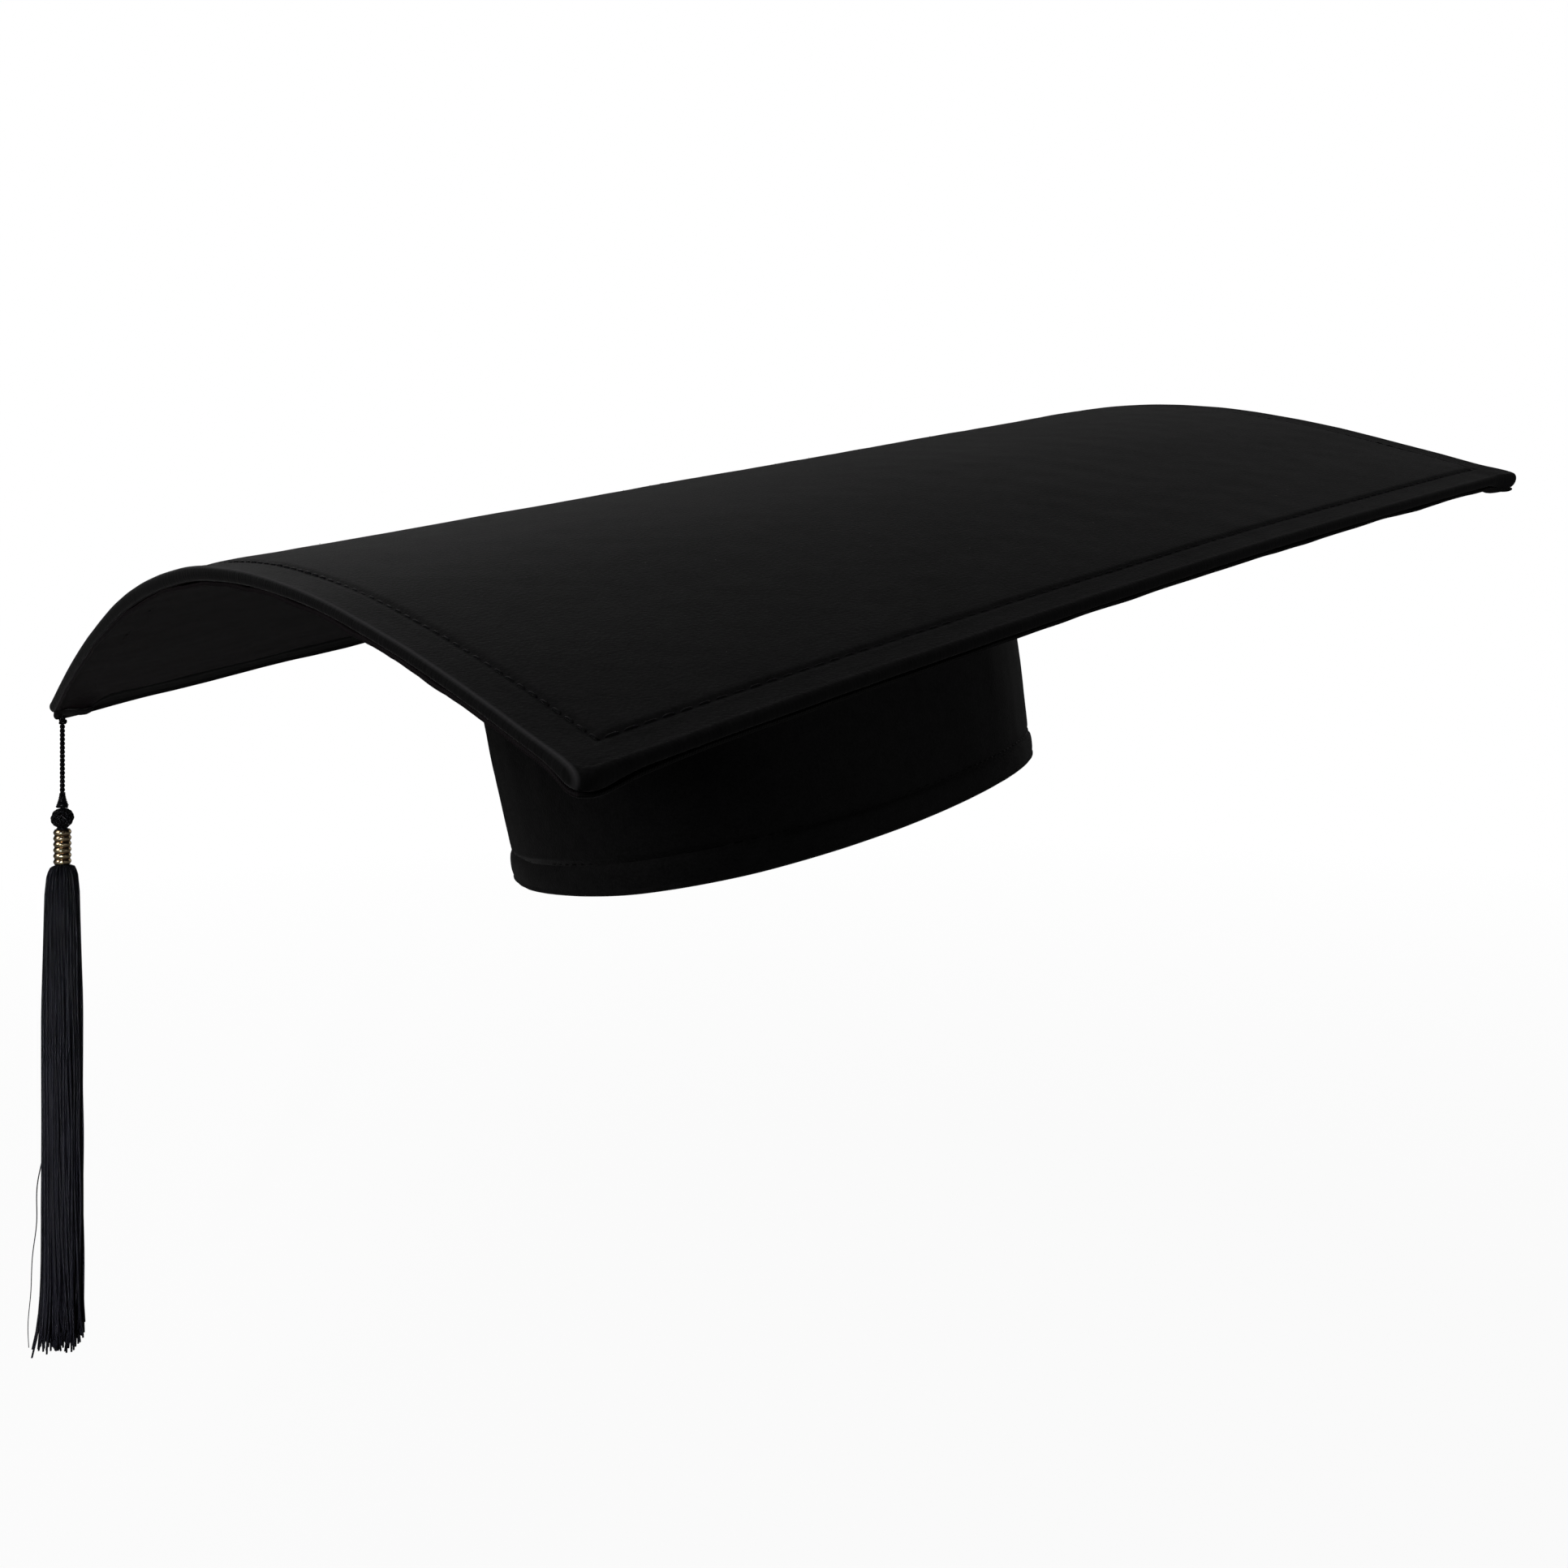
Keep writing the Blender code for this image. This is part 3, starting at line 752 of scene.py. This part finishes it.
def build_stitching():
    length = 8 * (HALF - STITCH_INSET)

    def on_top(distance, lift):
        return stitch_line(distance, CHANNEL_DEPTH + 0.5 * EDGE_STEP - lift)

    def below(distance, lift):
        return stitch_line(distance, UNDERSIDE_DEPTH - CHANNEL_DEPTH - 0.5 * EDGE_STEP + lift)

    thread = LOOKS["thread"]
    stitches("topstitching", thread, on_top, length, TOPSTITCH_PITCH, 21, "board_topstitch")
    stitches("under_stitching", thread, below, length, TOPSTITCH_PITCH, 22)


def build_lint():
    """Fibres of lint lying on the top cloth, most of them very small."""
    draw = np.random.default_rng(8)
    each = (LINT_COUNT, 1)
    middle_along = draw.uniform(-0.9, 0.9, each) * HALF
    middle_across = draw.uniform(-0.9, 0.6, each) * HALF
    way = draw.uniform(0, TAU, each)
    curl = draw.uniform(-1.2, 1.2, each)
    reach = (0.10 + 0.65 * draw.uniform(0, 1, each) ** 6) * MM
    share = np.linspace(-1, 1, 7)
    along = middle_along + reach * share * np.cos(way + curl * share)
    across = middle_across + reach * share * np.sin(way + curl * share)
    paths = lean(arch(along, across, -0.10 * MM))
    up = lean(arch(along, across, -1.10 * MM)) - paths
    piece("lint", tubes(paths, 0.045 * MM, up, 4), LOOKS["lint"], "cap")


# ---- the headpiece ----


def band_turns(count=BAND_STATIONS):
    """Turns round the headpiece from its back seam to the front and back again, closer near the seam."""
    even = np.arange(count) / count
    return math.pi + TAU * even - 0.22 * np.sin(2 * TAU * even) / 2 - 0.18 * np.sin(TAU * even)


def back_share(turn):
    """1 at the back of the headpiece, falling to 0 at GATHER_REACH, in radians, on both sides of it."""
    away = np.abs((turn % TAU) - math.pi) / GATHER_REACH
    return np.clip(1 - away * away, 0, 1) ** 2


def gathers(turn, rise):
    """How far the rear elastic's gathers push the cloth out, most at the hem and none above."""
    away = (turn % TAU) - math.pi
    wave = np.sin(away * 41 + 2.1 * np.sin(away * 5.0)) + 0.5 * np.sin(away * 67 + 1.3)
    fade = np.exp(-np.maximum(rise - 3 * MM, 0) / (13 * MM))
    return GATHER_DEPTH * wave * back_share(turn) * fade


def hem_relief(rise):
    """The turned hem stands out below its stitching, which pulls a furrow into it."""
    share = np.clip(rise / HEM_HEIGHT, 0, 1)
    stand = 0.75 * MM * np.sin(math.pi * share) ** 0.6
    return stand - 0.7 * MM * bell(rise - HEM_HEIGHT, 0.6 * MM)


def cloth_unevenness(turn, rise):
    """Slow waves of the headpiece's cloth, with the seam down its back."""
    place = wall(turn, 0.0, rise)
    wave = 0.28 * MM * rumple(place, 60 * MM, 31) + 0.07 * MM * rumple(place, 16 * MM, 32)
    from_seam = ((turn % TAU) - math.pi) * HEAD_HALF_WIDTH
    seam = 0.14 * MM * bell(np.abs(from_seam) - 2.6 * MM, 1.6 * MM)
    seam -= 0.45 * MM * bell(from_seam, 0.9 * MM)
    return wave + seam


def outer_push(turn, rise):
    """How far the headpiece stands out of its plain egg, and never so far in as its stiffening."""
    stand = 2.0 * MM * (rise / BAND_HEIGHT - 0.4) * np.maximum(np.sin(turn), 0) ** 2
    push = cloth_unevenness(turn, rise) + gathers(turn, rise) + hem_relief(rise) + stand
    return np.maximum(push, -0.8 * MM)


def band_rows():
    """The headpiece cloth's section as (inset, rise, share of the push): up the outside from the hem's fold,
    down inside it, and round the turned hem, back to the fold."""
    fold = np.linspace(0, math.pi, 11)
    rows = [(1.6 * MM + 1.9 * MM * math.cos(a), 0.75 * MM - 0.8 * MM * math.sin(a), 1.0) for a in fold]
    rows += [(0.0, rise, 1.0) for rise in np.arange(1.2, 9.6, 0.42) * MM]
    rows += [(0.0, rise, 1.0) for rise in np.arange(10.4, 79.6, 1.9) * MM]
    rows += [(0.0, 78.9 * MM, 1.0), (0.0, 79.2 * MM, 1.0), (BAND_THICKNESS, 79.2 * MM, 1.0)]
    rows += [(BAND_THICKNESS, rise, 1.0) for rise in np.arange(74, 8, -6.0) * MM]
    outer, inner = HEM_INSETS
    hem = [(BAND_THICKNESS, 2 * MM), (outer, 2 * MM), (outer, 6.6 * MM)]
    hem += [(outer + 0.1 * MM, HEM_TOP), (inner - 0.1 * MM, HEM_TOP)]
    hem += [(inner, rise) for rise in np.arange(6.7, 1.2, -0.42) * MM]
    rows += [(inset, rise, 0.6) for inset, rise in hem]
    return rows


def band_shape(turn, rows, push):
    """A closed section carried round the headpiece, and its weave places."""
    inset, rise, share = (np.array(column)[:, None] for column in zip(*rows))
    moved = inset - push(turn, rise) * share
    points = lean(wall(turn, moved, rise))
    numbers = np.arange(len(rows) * len(turn)).reshape(len(rows), -1)
    numbers = np.concatenate([numbers, numbers[:1]])
    steps = np.linalg.norm(np.diff(points, axis=1), axis=2).mean(0)
    arc = np.concatenate([[0], np.cumsum(steps)])
    weave = np.stack(np.broadcast_arrays(arc, rise + 0.3 * inset), axis=-1)
    return (points, [net(numbers)]), weave


def build_headpiece():
    turn = band_turns()
    shape, weave = band_shape(turn, band_rows(), outer_push)
    cloth = piece("headpiece_cloth", shape, LOOKS["head"], "cap", "headpiece_band", weave)

    reach = np.concatenate([[0], np.cumsum(np.hypot(*np.diff(np.stack(egg(turn, 0.0)), axis=1)))])
    length = reach[-1] + (reach[-1] - reach[-2])

    def turn_at(distance):
        return np.interp(distance % length, np.append(reach, length), np.append(turn, turn[0] + TAU))

    def outside(distance, lift):
        at = turn_at(distance)
        return lean(wall(at, -outer_push(at, HEM_HEIGHT) - lift, HEM_HEIGHT))

    def inside(distance, lift):
        at = turn_at(distance)
        inset = HEM_INSETS[1] - 0.6 * outer_push(at, HEM_HEIGHT) + lift
        return lean(wall(at, inset, HEM_HEIGHT - 0.6 * MM))

    thread = LOOKS["hem_thread"]
    stitches("hem_stitching", thread, outside, length, HEM_PITCH, 41, "hem_stitch_thread")
    stitches("hem_stitching_inside", thread, inside, length, HEM_PITCH, 42)


def lining_push(turn, rise):
    """Soft upright creases of the lining, and the elastic's gathers low at its back."""
    place = wall(turn, 0.0, rise)
    crease = rumple(place * np.array((1.0, 1.0, 0.25)), 22 * MM, 51)
    hang = np.sin(math.pi * np.clip(rise / BAND_HEIGHT, 0, 1))
    return -0.55 * MM * np.abs(crease) * hang - 0.25 * MM * hang + gathers(turn, rise) * 0.6


def build_lining():
    turn = band_turns(300)
    rows = [(2.45 * MM, rise, 1.0) for rise in np.arange(7.3, 77.5, 1.6) * MM]
    rows += [(1.95 * MM, rise, 1.0) for rise in np.arange(77, 7, -7.0) * MM]
    shape, weave = band_shape(turn, rows, lining_push)
    lining = piece("headpiece_lining_cloth", shape, LOOKS["lining"], "cap", "headpiece_lining", weave)


def build_crown_lining():
    """The lining under the board, sagging a little in its middle."""
    count = 160
    around = TAU * np.arange(count) / count
    x, y = egg(around, 2.6 * MM, CROWN_FLARE)
    shrink = np.concatenate([np.linspace(0.03, 0.9, 24), [0.94, 0.97, 0.99, 1.0]])[:, None]
    x, y = x * shrink, y * shrink
    sag = 0.9 * MM * np.cos(shrink * math.pi / 2) + 0.25 * MM * ripple(x, y, 40 * MM, 61)
    ceiling = underside(x, y)
    lower = np.stack([x, y, ceiling - 1.85 * MM - np.maximum(sag, 0)], axis=-1)
    upper = np.stack([x, y, ceiling - 1.35 * MM], axis=-1)[::-1]
    shape = capped(lean(np.concatenate([lower, upper])))
    weave = np.concatenate([np.stack([x, y], axis=-1)] * 2)
    crown = piece("crown_lining_cloth", shape, LOOKS["lining"], "cap", "crown_lining", weave)


def patch(turns, rises, insets, count):
    """A thin strip inside the headpiece between two turns, from two insets of its faces."""
    turn = np.linspace(turns[0], turns[1], count)
    rows = [(insets[0], rise) for rise in rises] + [(insets[1], rise) for rise in rises[::-1]]
    inset, rise = (np.array(column)[:, None] for column in zip(*rows))
    near_end = np.minimum(np.arange(count), np.arange(count)[::-1])
    thin = np.where(near_end == 0, 0.5, 1.0)
    middle = sum(insets) / 2
    moved = middle + (inset - middle) * thin - gathers(turn, rise) * 0.5
    points = lean(wall(turn, moved, rise))
    numbers = np.arange(points.size // 3).reshape(len(rows), count)
    numbers = np.concatenate([numbers, numbers[:1]])
    ends = [numbers[:-1, 0][None, ::-1], numbers[:-1, -1][None]]
    weave = np.stack(np.broadcast_arrays(turn * HEAD_HALF_WIDTH, rise), axis=-1)
    return (points, [net(numbers, closed=False)] + ends), weave


def build_inside_trim():
    step = TAU / 40
    rises = np.linspace(7.6 * MM, 74 * MM, 34)
    shape, weave = patch((math.pi - 0.6 * step, math.pi + 0.6 * step), rises, (3.1 * MM, 3.5 * MM), 13)
    tape = piece("back_seam_tape_cloth", shape, LOOKS["tape"], "cap", "back_seam_tape", weave)
    rises = np.linspace(14 * MM, 30 * MM, 14)
    shape, weave = patch((math.pi - step, math.pi + step), rises, (3.85 * MM, 4.25 * MM), 19)
    label = piece("size_label_cloth", shape, LOOKS["label"], "cap", "size_label", weave)


# ---- the tassel ----


def under_corner(inset, aside, depth):
    """A place under the tassel's corner: inset from both edges, aside of its diagonal, and at a depth."""
    return lean(arch(np.array(inset - HALF + aside), np.array(HALF - inset + aside), depth))


HANG = under_corner(CORNER_INSET, 0.0, PIVOT_DEPTH)


def below_hang(x, y, drop):
    """Points under the place where the tassel hangs."""
    return HANG + np.stack(np.broadcast_arrays(x, y, -drop), axis=-1)


def spiral(radius, turn, drop):
    """Points round the upright line under the place where the tassel hangs."""
    return below_hang(radius * np.cos(turn), radius * np.sin(turn), drop)


def corner_tab():
    """The sewn patch that holds the cord's knot under the board's corner."""
    sides = 40
    turn = TAU * np.arange(sides) / sides
    square = 1 / (np.abs(np.cos(turn)) ** 5 + np.abs(np.sin(turn)) ** 5) ** 0.2
    rows = [(0.15, 3.45), (0.5, 3.5), (0.8, 3.48), (0.93, 3.4)]
    rows += [(1.0, 3.2), (1.0, 3.0), (0.93, 2.9), (0.15, 2.9)]
    share, depth = np.array(rows).T[..., None]
    reach = 3.0 * MM * square
    along = 4.5 * MM - HALF + share * reach * np.cos(turn)
    across = HALF - 4.5 * MM + share * reach * np.sin(turn)
    shape = capped(lean(arch(along, across, depth * MM + corner_swell(along, across))))
    return shape, np.stack([along, across], axis=-1)


def build_knot():
    """The sewn patch, the loop of cord out of it, and the overhand knot that hangs in the loop."""
    shape, weave = corner_tab()
    piece("corner_tab", shape, LOOKS["tape"], "cap", "corner_anchor", weave)
    legs = []
    share = np.linspace(0, 1, 12)[:, None]
    for side in (-1, 1):
        root = under_corner(4.2 * MM, side * 0.6 * MM, 3.0 * MM)
        bend = under_corner(1.9 * MM, 0.0, 3.4 * MM) + (side * 0.15 * MM, 0, 0)
        legs.append(root * (1 - share) ** 2 + 2 * bend * share * (1 - share) + HANG * share**2)
    piece("corner_loop", tubes(legs, 0.36 * MM, (0.3, 0.9, 0.1)), LOOKS["cord"], "cap")
    share = np.linspace(0, TAU, 61)
    size = 0.30 * MM
    x = size * (np.sin(share) + 2 * np.sin(2 * share)) * 0.75
    y = size * (np.cos(share) - 2 * np.cos(2 * share)) * 0.75
    z = size * np.sin(3 * share) * 1.1
    loop = below_hang(x, y, z)[None]
    profile = ((0.12, 0.5), (0.45, 0.2), (0.45, -0.3), (0.12, -0.7))
    core = lathe([(radius * MM, height * MM) for radius, height in profile], 12, HANG)
    knot = joined(tubes(loop, 0.27 * MM, (0.31, 0.2, 0.93)), core)
    piece("corner_knot_turns", knot, LOOKS["cord"], "cord_root", "corner_knot")


def build_cord():
    """The hanging cord: two plies twisted together, from the corner's knot down into the tassel's head."""
    drop = CORD_START + CORD_LENGTH * np.linspace(0, 1, 260)
    turn = TAU * drop / PLY_PITCH
    plies = [spiral(PLY_OFFSET, turn + phase, drop) for phase in (0, math.pi)]
    shape = tubes(plies, PLY_RADIUS, (1.0, 0.0, 0.0), 7)
    made = piece("tassel_cord_plies", shape, LOOKS["cord"], None, "tassel_cord")
    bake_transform(made)
    return made, below_hang(0.0, 0.0, drop)


def build_whipping():
    """The cone of thread wound round the cord over the ball, on a plain core."""
    share = np.linspace(0, 1, 150)
    radius = (0.42 + 0.75 * share**1.6) * MM
    winding = spiral(radius, TAU * 8 * share, WHIP_TOP + share * WHIP_LENGTH)[None]
    share = np.linspace(0, 1, 8)
    core = zip((0.32 + 0.78 * share**1.6) * MM, -WHIP_TOP - share * WHIP_LENGTH)
    shape = joined(tubes(winding, 0.22 * MM, (0, 0, 1.0)), lathe(list(core), 16, HANG))
    return piece("cord_whipping_turns", shape, LOOKS["cord"], "cord_end", "cord_whipping")


def build_ball():
    """A ball covered with crossing threads, each over one and under the next."""
    place = np.linspace(0.10, 0.90, 30)
    polar = math.pi * place
    paths = []
    for hand in (-1, 1):
        for i in range(BALL_THREADS):
            turn = TAU * i / BALL_THREADS + hand * math.pi * (place - 0.5)
            over = hand * np.cos(TAU * (place - 0.5) * BALL_THREADS / 2 + math.pi * i)
            radius = BALL_RADIUS - 0.22 * MM + 0.09 * MM * over
            drop = BALL_CENTRE - radius * np.cos(polar)
            paths.append(spiral(radius * np.sin(polar), turn, drop))
    paths = np.stack(paths)
    up = paths - (HANG - np.array((0, 0, BALL_CENTRE)))
    core_turn = np.linspace(0.12, math.pi - 0.12, 14)
    core_radius = BALL_RADIUS - 0.3 * MM
    core = [(core_radius * math.sin(t), core_radius * math.cos(t) - BALL_CENTRE) for t in core_turn]
    shape = joined(tubes(paths, 0.27 * MM, up), lathe(core, 24, HANG))
    return piece("tassel_ball_weave", shape, LOOKS["cord"], "tassel_head", "tassel_ball")


def build_sleeve():
    """The ridged sleeve round the neck of the strands."""
    places_down = np.linspace(0, 1, COLLAR_RIDGES * 10 + 1)
    ridge = 0.5 - 0.5 * np.cos(TAU * COLLAR_RIDGES * places_down)
    outer = COLLAR_RADIUS - 0.27 * MM + 0.27 * MM * ridge**0.7
    drop = COLLAR_TOP + (COLLAR_END - COLLAR_TOP) * places_down
    profile = list(zip(outer, -drop)) + [(1.35 * MM, -COLLAR_END), (1.3 * MM, -COLLAR_TOP)]
    sides = 56
    points = lathe(profile, sides, HANG)[0]
    numbers = np.arange(points.size // 3).reshape(-1, sides)
    faces = [net(np.concatenate([numbers, numbers[:1]]))]
    around = np.arange(sides) / sides * TAU * COLLAR_RADIUS
    down = np.append(drop, [COLLAR_END, COLLAR_TOP]) - COLLAR_TOP
    weave = np.stack(np.broadcast_arrays(around, down[:, None]), axis=-1)
    piece("tassel_sleeve", (points, faces), LOOKS["gold"], "tassel_head", "collar_sleeve", weave)


def build_neck():
    """The thread that binds the top of the strands, inside the sleeve."""
    share = np.linspace(0, 1, 170)
    winding = spiral(0.95 * MM, TAU * 15 * share, NECK_TOP + share * NECK_LENGTH)[None]
    core = [(0.9 * MM, -NECK_TOP), (0.9 * MM, 0.8 * MM - COLLAR_END)]
    shape = joined(tubes(winding, 0.25 * MM, (0, 0, 1.0)), lathe(core, 16, HANG))
    return piece("strand_neck_turns", shape, LOOKS["cord"], "tassel_head", "strand_neck")


def build_skirt():
    """The skirt's strands, packed side by side, with uneven cut ends."""
    draw = np.random.default_rng(11)
    each = (STRAND_COUNT, 1)
    order = np.arange(STRAND_COUNT) + 0.5
    spread = np.sqrt(order / STRAND_COUNT)[:, None]
    turn = (order * GOLDEN_TURN)[:, None]
    share = np.concatenate([[0, 0.006, 0.012, 0.02], np.linspace(0.03, 1, 28)])[None]
    outline = [(0, 0.24), (0.006, 0.25), (0.012, 0.58), (0.026, 0.72), (0.06, 0.81), (0.3, 0.97), (1, 1.0)]
    width = np.interp(share, *zip(*outline))
    ragged = np.clip(draw.normal(0, 1.5 * MM, each), -4 * MM, 2.4 * MM)
    drop = COLLAR_END - 0.6 * MM + (SKIRT_END - COLLAR_END + ragged) * share
    bends = draw.uniform(1.5, 4, each)
    wander = 0.16 * MM * np.sin(TAU * share * bends + draw.uniform(0, TAU, each))
    splay = draw.normal(0, 0.75 * MM, (2, *each)) * share**14
    radius = SKIRT_RADIUS * 0.95 * spread * width
    around = turn + wander / np.maximum(radius, 0.8 * MM) + 0.35 * share
    x = (radius + 0.6 * wander * share) * np.cos(around) + splay[0]
    y = (radius + 0.6 * wander * share) * np.sin(around) + splay[1]
    thick = STRAND_RADIUS * np.clip(width / 0.85, 0.35, 1) * (1 - 0.25 * share**20)
    shape = tubes(below_hang(x, y, drop), thick, (1.0, 0.0, 0.0), 5)
    made = piece("skirt_strands", shape, LOOKS["silk"], None, "tassel_skirt")
    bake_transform(made)


def loose_strand(which, start, end, bow):
    """One fine thread that has worked out of the skirt, in millimetres under where the tassel hangs."""
    share = np.linspace(0, 1, 60)
    x, y, drop = (a + (b - a) * share for a, b in zip(start, end))
    x = x - bow * np.sin(math.pi * share) + 0.22 * np.sin(share * 19)
    y = y + 0.3 * np.sin(share * 13 + 1)
    path = below_hang(x * MM, y * MM, drop * MM)[None]
    shape = tubes(path, 0.13 * MM * (1 - 0.4 * share[None]), (1.0, 0.0, 0.0), 6)
    piece(f"loose_thread_{which}", shape, LOOKS["silk"], "skirt", f"loose_strand_{which}")


def build_tassel():
    build_knot()
    cord, path = build_cord()
    on_cord = [build_whipping(), build_ball()]
    build_sleeve()
    on_cord.append(build_neck())
    build_skirt()
    loose_strand("long", (-3.6, -0.6, 92.0), (-7.1, -1.2, 141.0), 0.5)
    loose_strand("short", (-3.6, 0.9, 98.0), (-4.9, 1.6, 133.5), 1.0)


# ---- solids that stay, and the studio ----


def dress_solids():
    """Materials for the CAD solids whose own shapes show, or would show on a bench."""
    dressed = {
        "board_stiffener": "card",
        "crown_panel": "solid",
        "headpiece_interlining": "buckram",
        "crown_seam_thread": "thread",
        "rear_elastic": "elastic",
    }
    for name, look in dressed.items():
        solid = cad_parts[name]
        if not solid.material_slots:
            solid.data.materials.append(LOOKS[look])
        for slot in solid.material_slots:
            slot.material = LOOKS[look]


def make_camera():
    data = bpy.data.cameras.new("camera")
    data.sensor_width = SENSOR_MM
    data.lens = LENS_MM
    data.shift_x, data.shift_y = SHIFT
    data.clip_start = 0.01
    camera = placed("camera", data)
    azimuth = math.radians(VIEW_AZIMUTH)
    elevation = math.radians(VIEW_ELEVATION)
    level = math.cos(elevation)
    back = Vector((math.sin(azimuth) * level, -math.cos(azimuth) * level, math.sin(elevation)))
    camera.location = Vector(lean(BOARD_CENTRE) + VIEW_OFFSET)
    camera.rotation_mode = "QUATERNION"
    camera.rotation_quaternion = (-back).to_track_quat("-Z", "Y")
    bpy.context.scene.camera = camera


def softbox(name, place, size, watts, aim=(0.0, 0.0, 0.05), spread=180.0):
    data = bpy.data.lights.new(name, "AREA")
    data.shape = "RECTANGLE"
    data.size, data.size_y = size
    data.energy = watts
    data.spread = math.radians(spread)
    lamp = placed(name, data)
    lamp.location = place
    lamp.rotation_mode = "QUATERNION"
    lamp.rotation_quaternion = (Vector(aim) - Vector(place)).to_track_quat("-Z", "Y")


def floor_look():
    """A floor that the camera sees as nearly white, and that throws little light up at the cap. It is clear
    from below and casts no shadow, so a lamp under it lights the inside of the cap."""
    look = bpy.data.materials.new("pale_floor")
    look.use_nodes = True
    tree = look.node_tree
    tree.nodes.clear()
    path = node(tree, "LightPath")
    ray = path.outputs["Is Camera Ray"]
    back = node(tree, "NewGeometry").outputs["Backfacing"]
    below = maths(tree, "MAXIMUM", back, path.outputs["Is Shadow Ray"])
    place = node(tree, "TexCoord").outputs["Object"]
    away = node(tree, "VectorMath", {0: place}, operation="LENGTH").outputs["Value"]
    fall = {"Value": away, "From Min": 0.25, "From Max": 0.9, "To Min": 0.05, "To Max": 0.0}
    near = node(tree, "MapRange", fall)
    glow = node(tree, "Emission", {"Color": grey(1.0)}).outputs[0]
    pale = node(tree, "BsdfDiffuse", {"Color": grey(0.8)}).outputs[0]
    dull = node(tree, "BsdfDiffuse", {"Color": grey(0.25)}).outputs[0]
    seen = either(tree, near.outputs[0], glow, pale)
    floor = either(tree, ray, dull, seen)
    clear = node(tree, "BsdfTransparent").outputs[0]
    both = either(tree, below, floor, clear)
    node(tree, "OutputMaterial", {"Surface": both})
    return look


def make_floor():
    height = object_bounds()[0].z - 30 * MM
    reach = 6.0
    mesh = bpy.data.meshes.new("floor")
    corners = [(x * reach, y * reach, height) for x, y in ((-1, -1), (1, -1), (1, 1), (-1, 1))]
    mesh.from_pydata(corners, [], [(0, 1, 2, 3)])
    mesh.materials.append(floor_look())
    floor = placed("floor", mesh)


def make_world():
    """White where the camera sees it, and a weak light otherwise."""
    world = bpy.data.worlds.new("studio")
    bpy.context.scene.world = world
    world.use_nodes = True
    tree = world.node_tree
    tree.nodes.clear()
    ray = node(tree, "LightPath").outputs["Is Camera Ray"]
    dim = node(tree, "Background", {"Color": grey(1.0), "Strength": 0.012}).outputs[0]
    white = node(tree, "Background", {"Color": grey(1.0), "Strength": 1.0}).outputs[0]
    both = either(tree, ray, dim, white)
    node(tree, "OutputWorld", {"Surface": both})


def make_lamps():
    """Two lamps over the cap, one low for the tassel, one at each side, one behind and two under it."""
    softbox("key", (-0.48, 0.50, 0.50), (0.5, 0.5), 0.92)
    softbox("top", (-0.10, 0.0, 1.10), (0.8, 0.8), 0.36)
    softbox("front", (-0.02, -0.70, 0.02), (0.05, 0.12), 0.095, (-0.165, -0.02, -0.085), 16.0)
    softbox("left", (-0.70, -0.70, 0.55), (0.3, 0.3), 1.9)
    softbox("rear", (0.30, 1.00, 0.20), (0.5, 0.5), 0.4)
    softbox("under", (0.05, 0.45, -0.90), (0.5, 0.5), 0.2, (0.0, 0.0, 0.0))
    softbox("inside", (0.04, 0.28, -0.85), (0.06, 0.06), 0.03, (0.0, 0.03, 0.04), 7.0)
    softbox("right", (0.95, -0.25, 0.10), (0.4, 0.5), 0.66)


make_camera()
build_tassel()
build_top_cloth()
build_under_cloth()
build_stitching()
build_lint()
build_headpiece()
build_lining()
build_crown_lining()
build_inside_trim()
dress_solids()
make_floor()
make_world()
make_lamps()
bpy.context.scene.view_settings.view_transform = "Standard"
